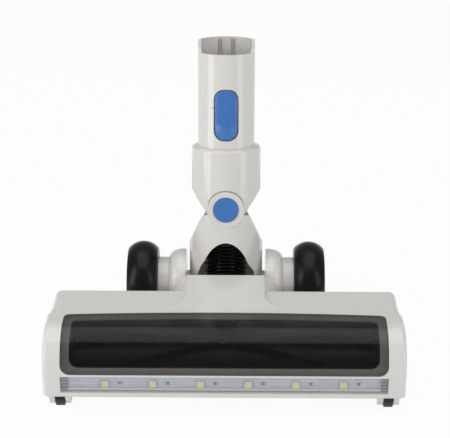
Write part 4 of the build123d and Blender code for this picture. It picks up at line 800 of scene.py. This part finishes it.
# Contacts: two flat blades of nickel plated brass in the grooves of the socket's rear wall, from its seat
# nearly to its rim. They are stamped, with rounded corners, and satin, so they show as pale bars.
BLADE_FOOT = 112.15 * MM
BLADE_BACK = 20.08 * MM
BLADE_APART = 10.0 * MM
BLADE_LONG = 78.0 * MM
BLADE_WIDE = 2.9 * MM
BLADE_THICK = 0.5 * MM
BLADE_CORNER = 0.9 * MM
BLADE_EDGE = 0.12 * MM
blade_foot = NECK_FOOT + neck_up * BLADE_FOOT + neck_back * (BLADE_BACK - BLADE_THICK / 2)
nickel_plate = worked_metal("satin_nickel_plate", "#eceae4", "#e2e0d9", roughness=0.42, along=UP)
for side, word in ((-1, "left"), (1, "right")):
    blade = start_block(f"contact_blade_{word}", (BLADE_WIDE, BLADE_THICK, BLADE_LONG),
                        (0, 0, BLADE_LONG / 2))
    select_edges(lambda middle, along: abs(along.y) > FACING)
    bpy.ops.mesh.bevel(offset=BLADE_CORNER, segments=4)
    select_faces(lambda middle, normal: normal.y < -FACING)
    bpy.ops.mesh.bevel(offset=BLADE_EDGE, segments=2)
    end_block(blade, nickel_plate, smooth=SMOOTH_BELOW)
    blade_foot.x = side * BLADE_APART / 2
    set_in_neck(blade, blade_foot)
    fit_piece(blade, "upper_neck", "contact_brass", "contact_strips")

# Hose: a black corrugated suction hose of soft rubber with a satin skin, from the cuff at the back of the
# head, round one bend and up through the neck to the cuff below the socket.
HOSE_CREST = 16.7 * MM
HOSE_ROOT = 14.3 * MM
HOSE_MIDDLE = (HOSE_CREST + HOSE_ROOT) / 2
HOSE_SHOULDER = HOSE_CREST - 0.25 * MM
HOSE_WALL = 0.7 * MM
HOSE_SIDES = 40
HOSE_SMOOTH = math.radians(60)
RING_COUNT = 32
RING_LOWER = 20
RING_MERGE = 0.01 * MM
RING_PROFILE = [
    # share of a ring's length, radius there
    (0.16, HOSE_ROOT), (0.3, HOSE_MIDDLE), (0.44, HOSE_SHOULDER), (0.58, HOSE_CREST),
    (0.72, HOSE_SHOULDER), (0.86, HOSE_MIDDLE), (1.0, HOSE_ROOT)]
HOSE_FROM = Vector((0, -6.37, 30.0)) * MM
HOSE_LEVEL = Vector((0, -2.15, 30.0)) * MM
HOSE_TURNED = Vector((0, 41.87, 65.64)) * MM
HOSE_TO = Vector((0, 53.95, 122.50)) * MM
HOSE_BEND = 45.0 * MM
HOSE_TURN = math.radians(78)
ROUTE_STEPS = 64

hose_rubber = moulded_plastic("moulded_hose_rubber", "#0d1010", "#0a0d0d",
                              roughness=0.2, peel=0.3, ior=RUBBER_IOR)
finish_node(black_abs, "hose_cuff_lower", "hose_cuff_upper")

bpy.ops.object.select_all(action="DESELECT")
bpy.ops.curve.primitive_bezier_curve_add(radius=1, location=(0, 0, 0))
hose_line = bpy.context.object
hose_line.data.resolution_u = ROUTE_STEPS
hose_line.data.twist_mode = "Z_UP"
points = hose_line.data.splines[0].bezier_points
points.add(2)
arc_handle = HOSE_BEND * 4 / 3 * math.tan(HOSE_TURN / 4)
level_way = Vector((0, 1, 0))
run_low = (HOSE_LEVEL - HOSE_FROM).length / 3
run_high = (HOSE_TO - HOSE_TURNED).length / 3
for point, place, way, before, after in (
        (points[0], HOSE_FROM, level_way, run_low, run_low),
        (points[1], HOSE_LEVEL, level_way, run_low, arc_handle),
        (points[2], HOSE_TURNED, neck_up, arc_handle, run_high),
        (points[3], HOSE_TO, neck_up, run_high, run_high)):
    point.handle_left_type = point.handle_right_type = "FREE"
    point.co = place
    point.handle_left = place - way * before
    point.handle_right = place + way * after
hose_length = 3 * run_low + HOSE_BEND * HOSE_TURN + 3 * run_high
ring_pitch = hose_length / RING_COUNT

for name, first, count in (
        ("hose_lower", 0, RING_LOWER), ("hose_upper", RING_LOWER, RING_COUNT - RING_LOWER)):
    bpy.ops.object.select_all(action="DESELECT")
    bpy.ops.mesh.primitive_circle_add(vertices=HOSE_SIDES, radius=HOSE_ROOT, rotation=(0, math.pi / 2, 0),
                                      location=(first * ring_pitch, 0, 0))
    bpy.ops.object.transform_apply(location=True, rotation=True, scale=True)
    hose = bpy.context.object
    hose.name = name
    hose.data.name = name
    bpy.ops.object.mode_set(mode="EDIT")
    bpy.ops.mesh.select_mode(type="EDGE")
    bpy.ops.mesh.select_all(action="SELECT")
    reached, size = first * ring_pitch, HOSE_ROOT
    for share, radius in RING_PROFILE:
        step = (first + share) * ring_pitch - reached
        bpy.ops.mesh.extrude_region_move(TRANSFORM_OT_translate={"value": (step, 0, 0)})
        reached += step
        bpy.ops.transform.resize(value=(1, radius / size, radius / size), center_override=(reached, 0, 0))
        size = radius
    bpy.ops.object.mode_set(mode="OBJECT")
    rings = hose.modifiers.new("rings", "ARRAY")
    rings.count = count
    rings.use_relative_offset = False
    rings.use_constant_offset = True
    rings.constant_offset_displace = (ring_pitch, 0, 0)
    rings.use_merge_vertices = True
    rings.merge_threshold = RING_MERGE
    bpy.ops.object.modifier_apply(modifier="rings")
    route = hose.modifiers.new("route", "CURVE")
    route.object = hose_line
    route.deform_axis = "POS_X"
    bpy.ops.object.modifier_apply(modifier="route")
    bpy.ops.object.mode_set(mode="EDIT")
    bpy.ops.mesh.select_all(action="SELECT")
    bpy.ops.mesh.normals_make_consistent(inside=False)
    bpy.ops.object.mode_set(mode="OBJECT")
    wall = hose.modifiers.new("wall", "SOLIDIFY")
    wall.thickness = HOSE_WALL
    wall.offset = -1
    bpy.ops.object.modifier_apply(modifier="wall")
    bpy.ops.object.shade_smooth_by_angle(angle=HOSE_SMOOTH)
    hose.data.materials.append(hose_rubber)
    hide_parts("flex_hose")
    if name == "hose_lower":
        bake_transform(hose)
    else:
        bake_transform(hose)
bpy.data.objects.remove(hose_line)
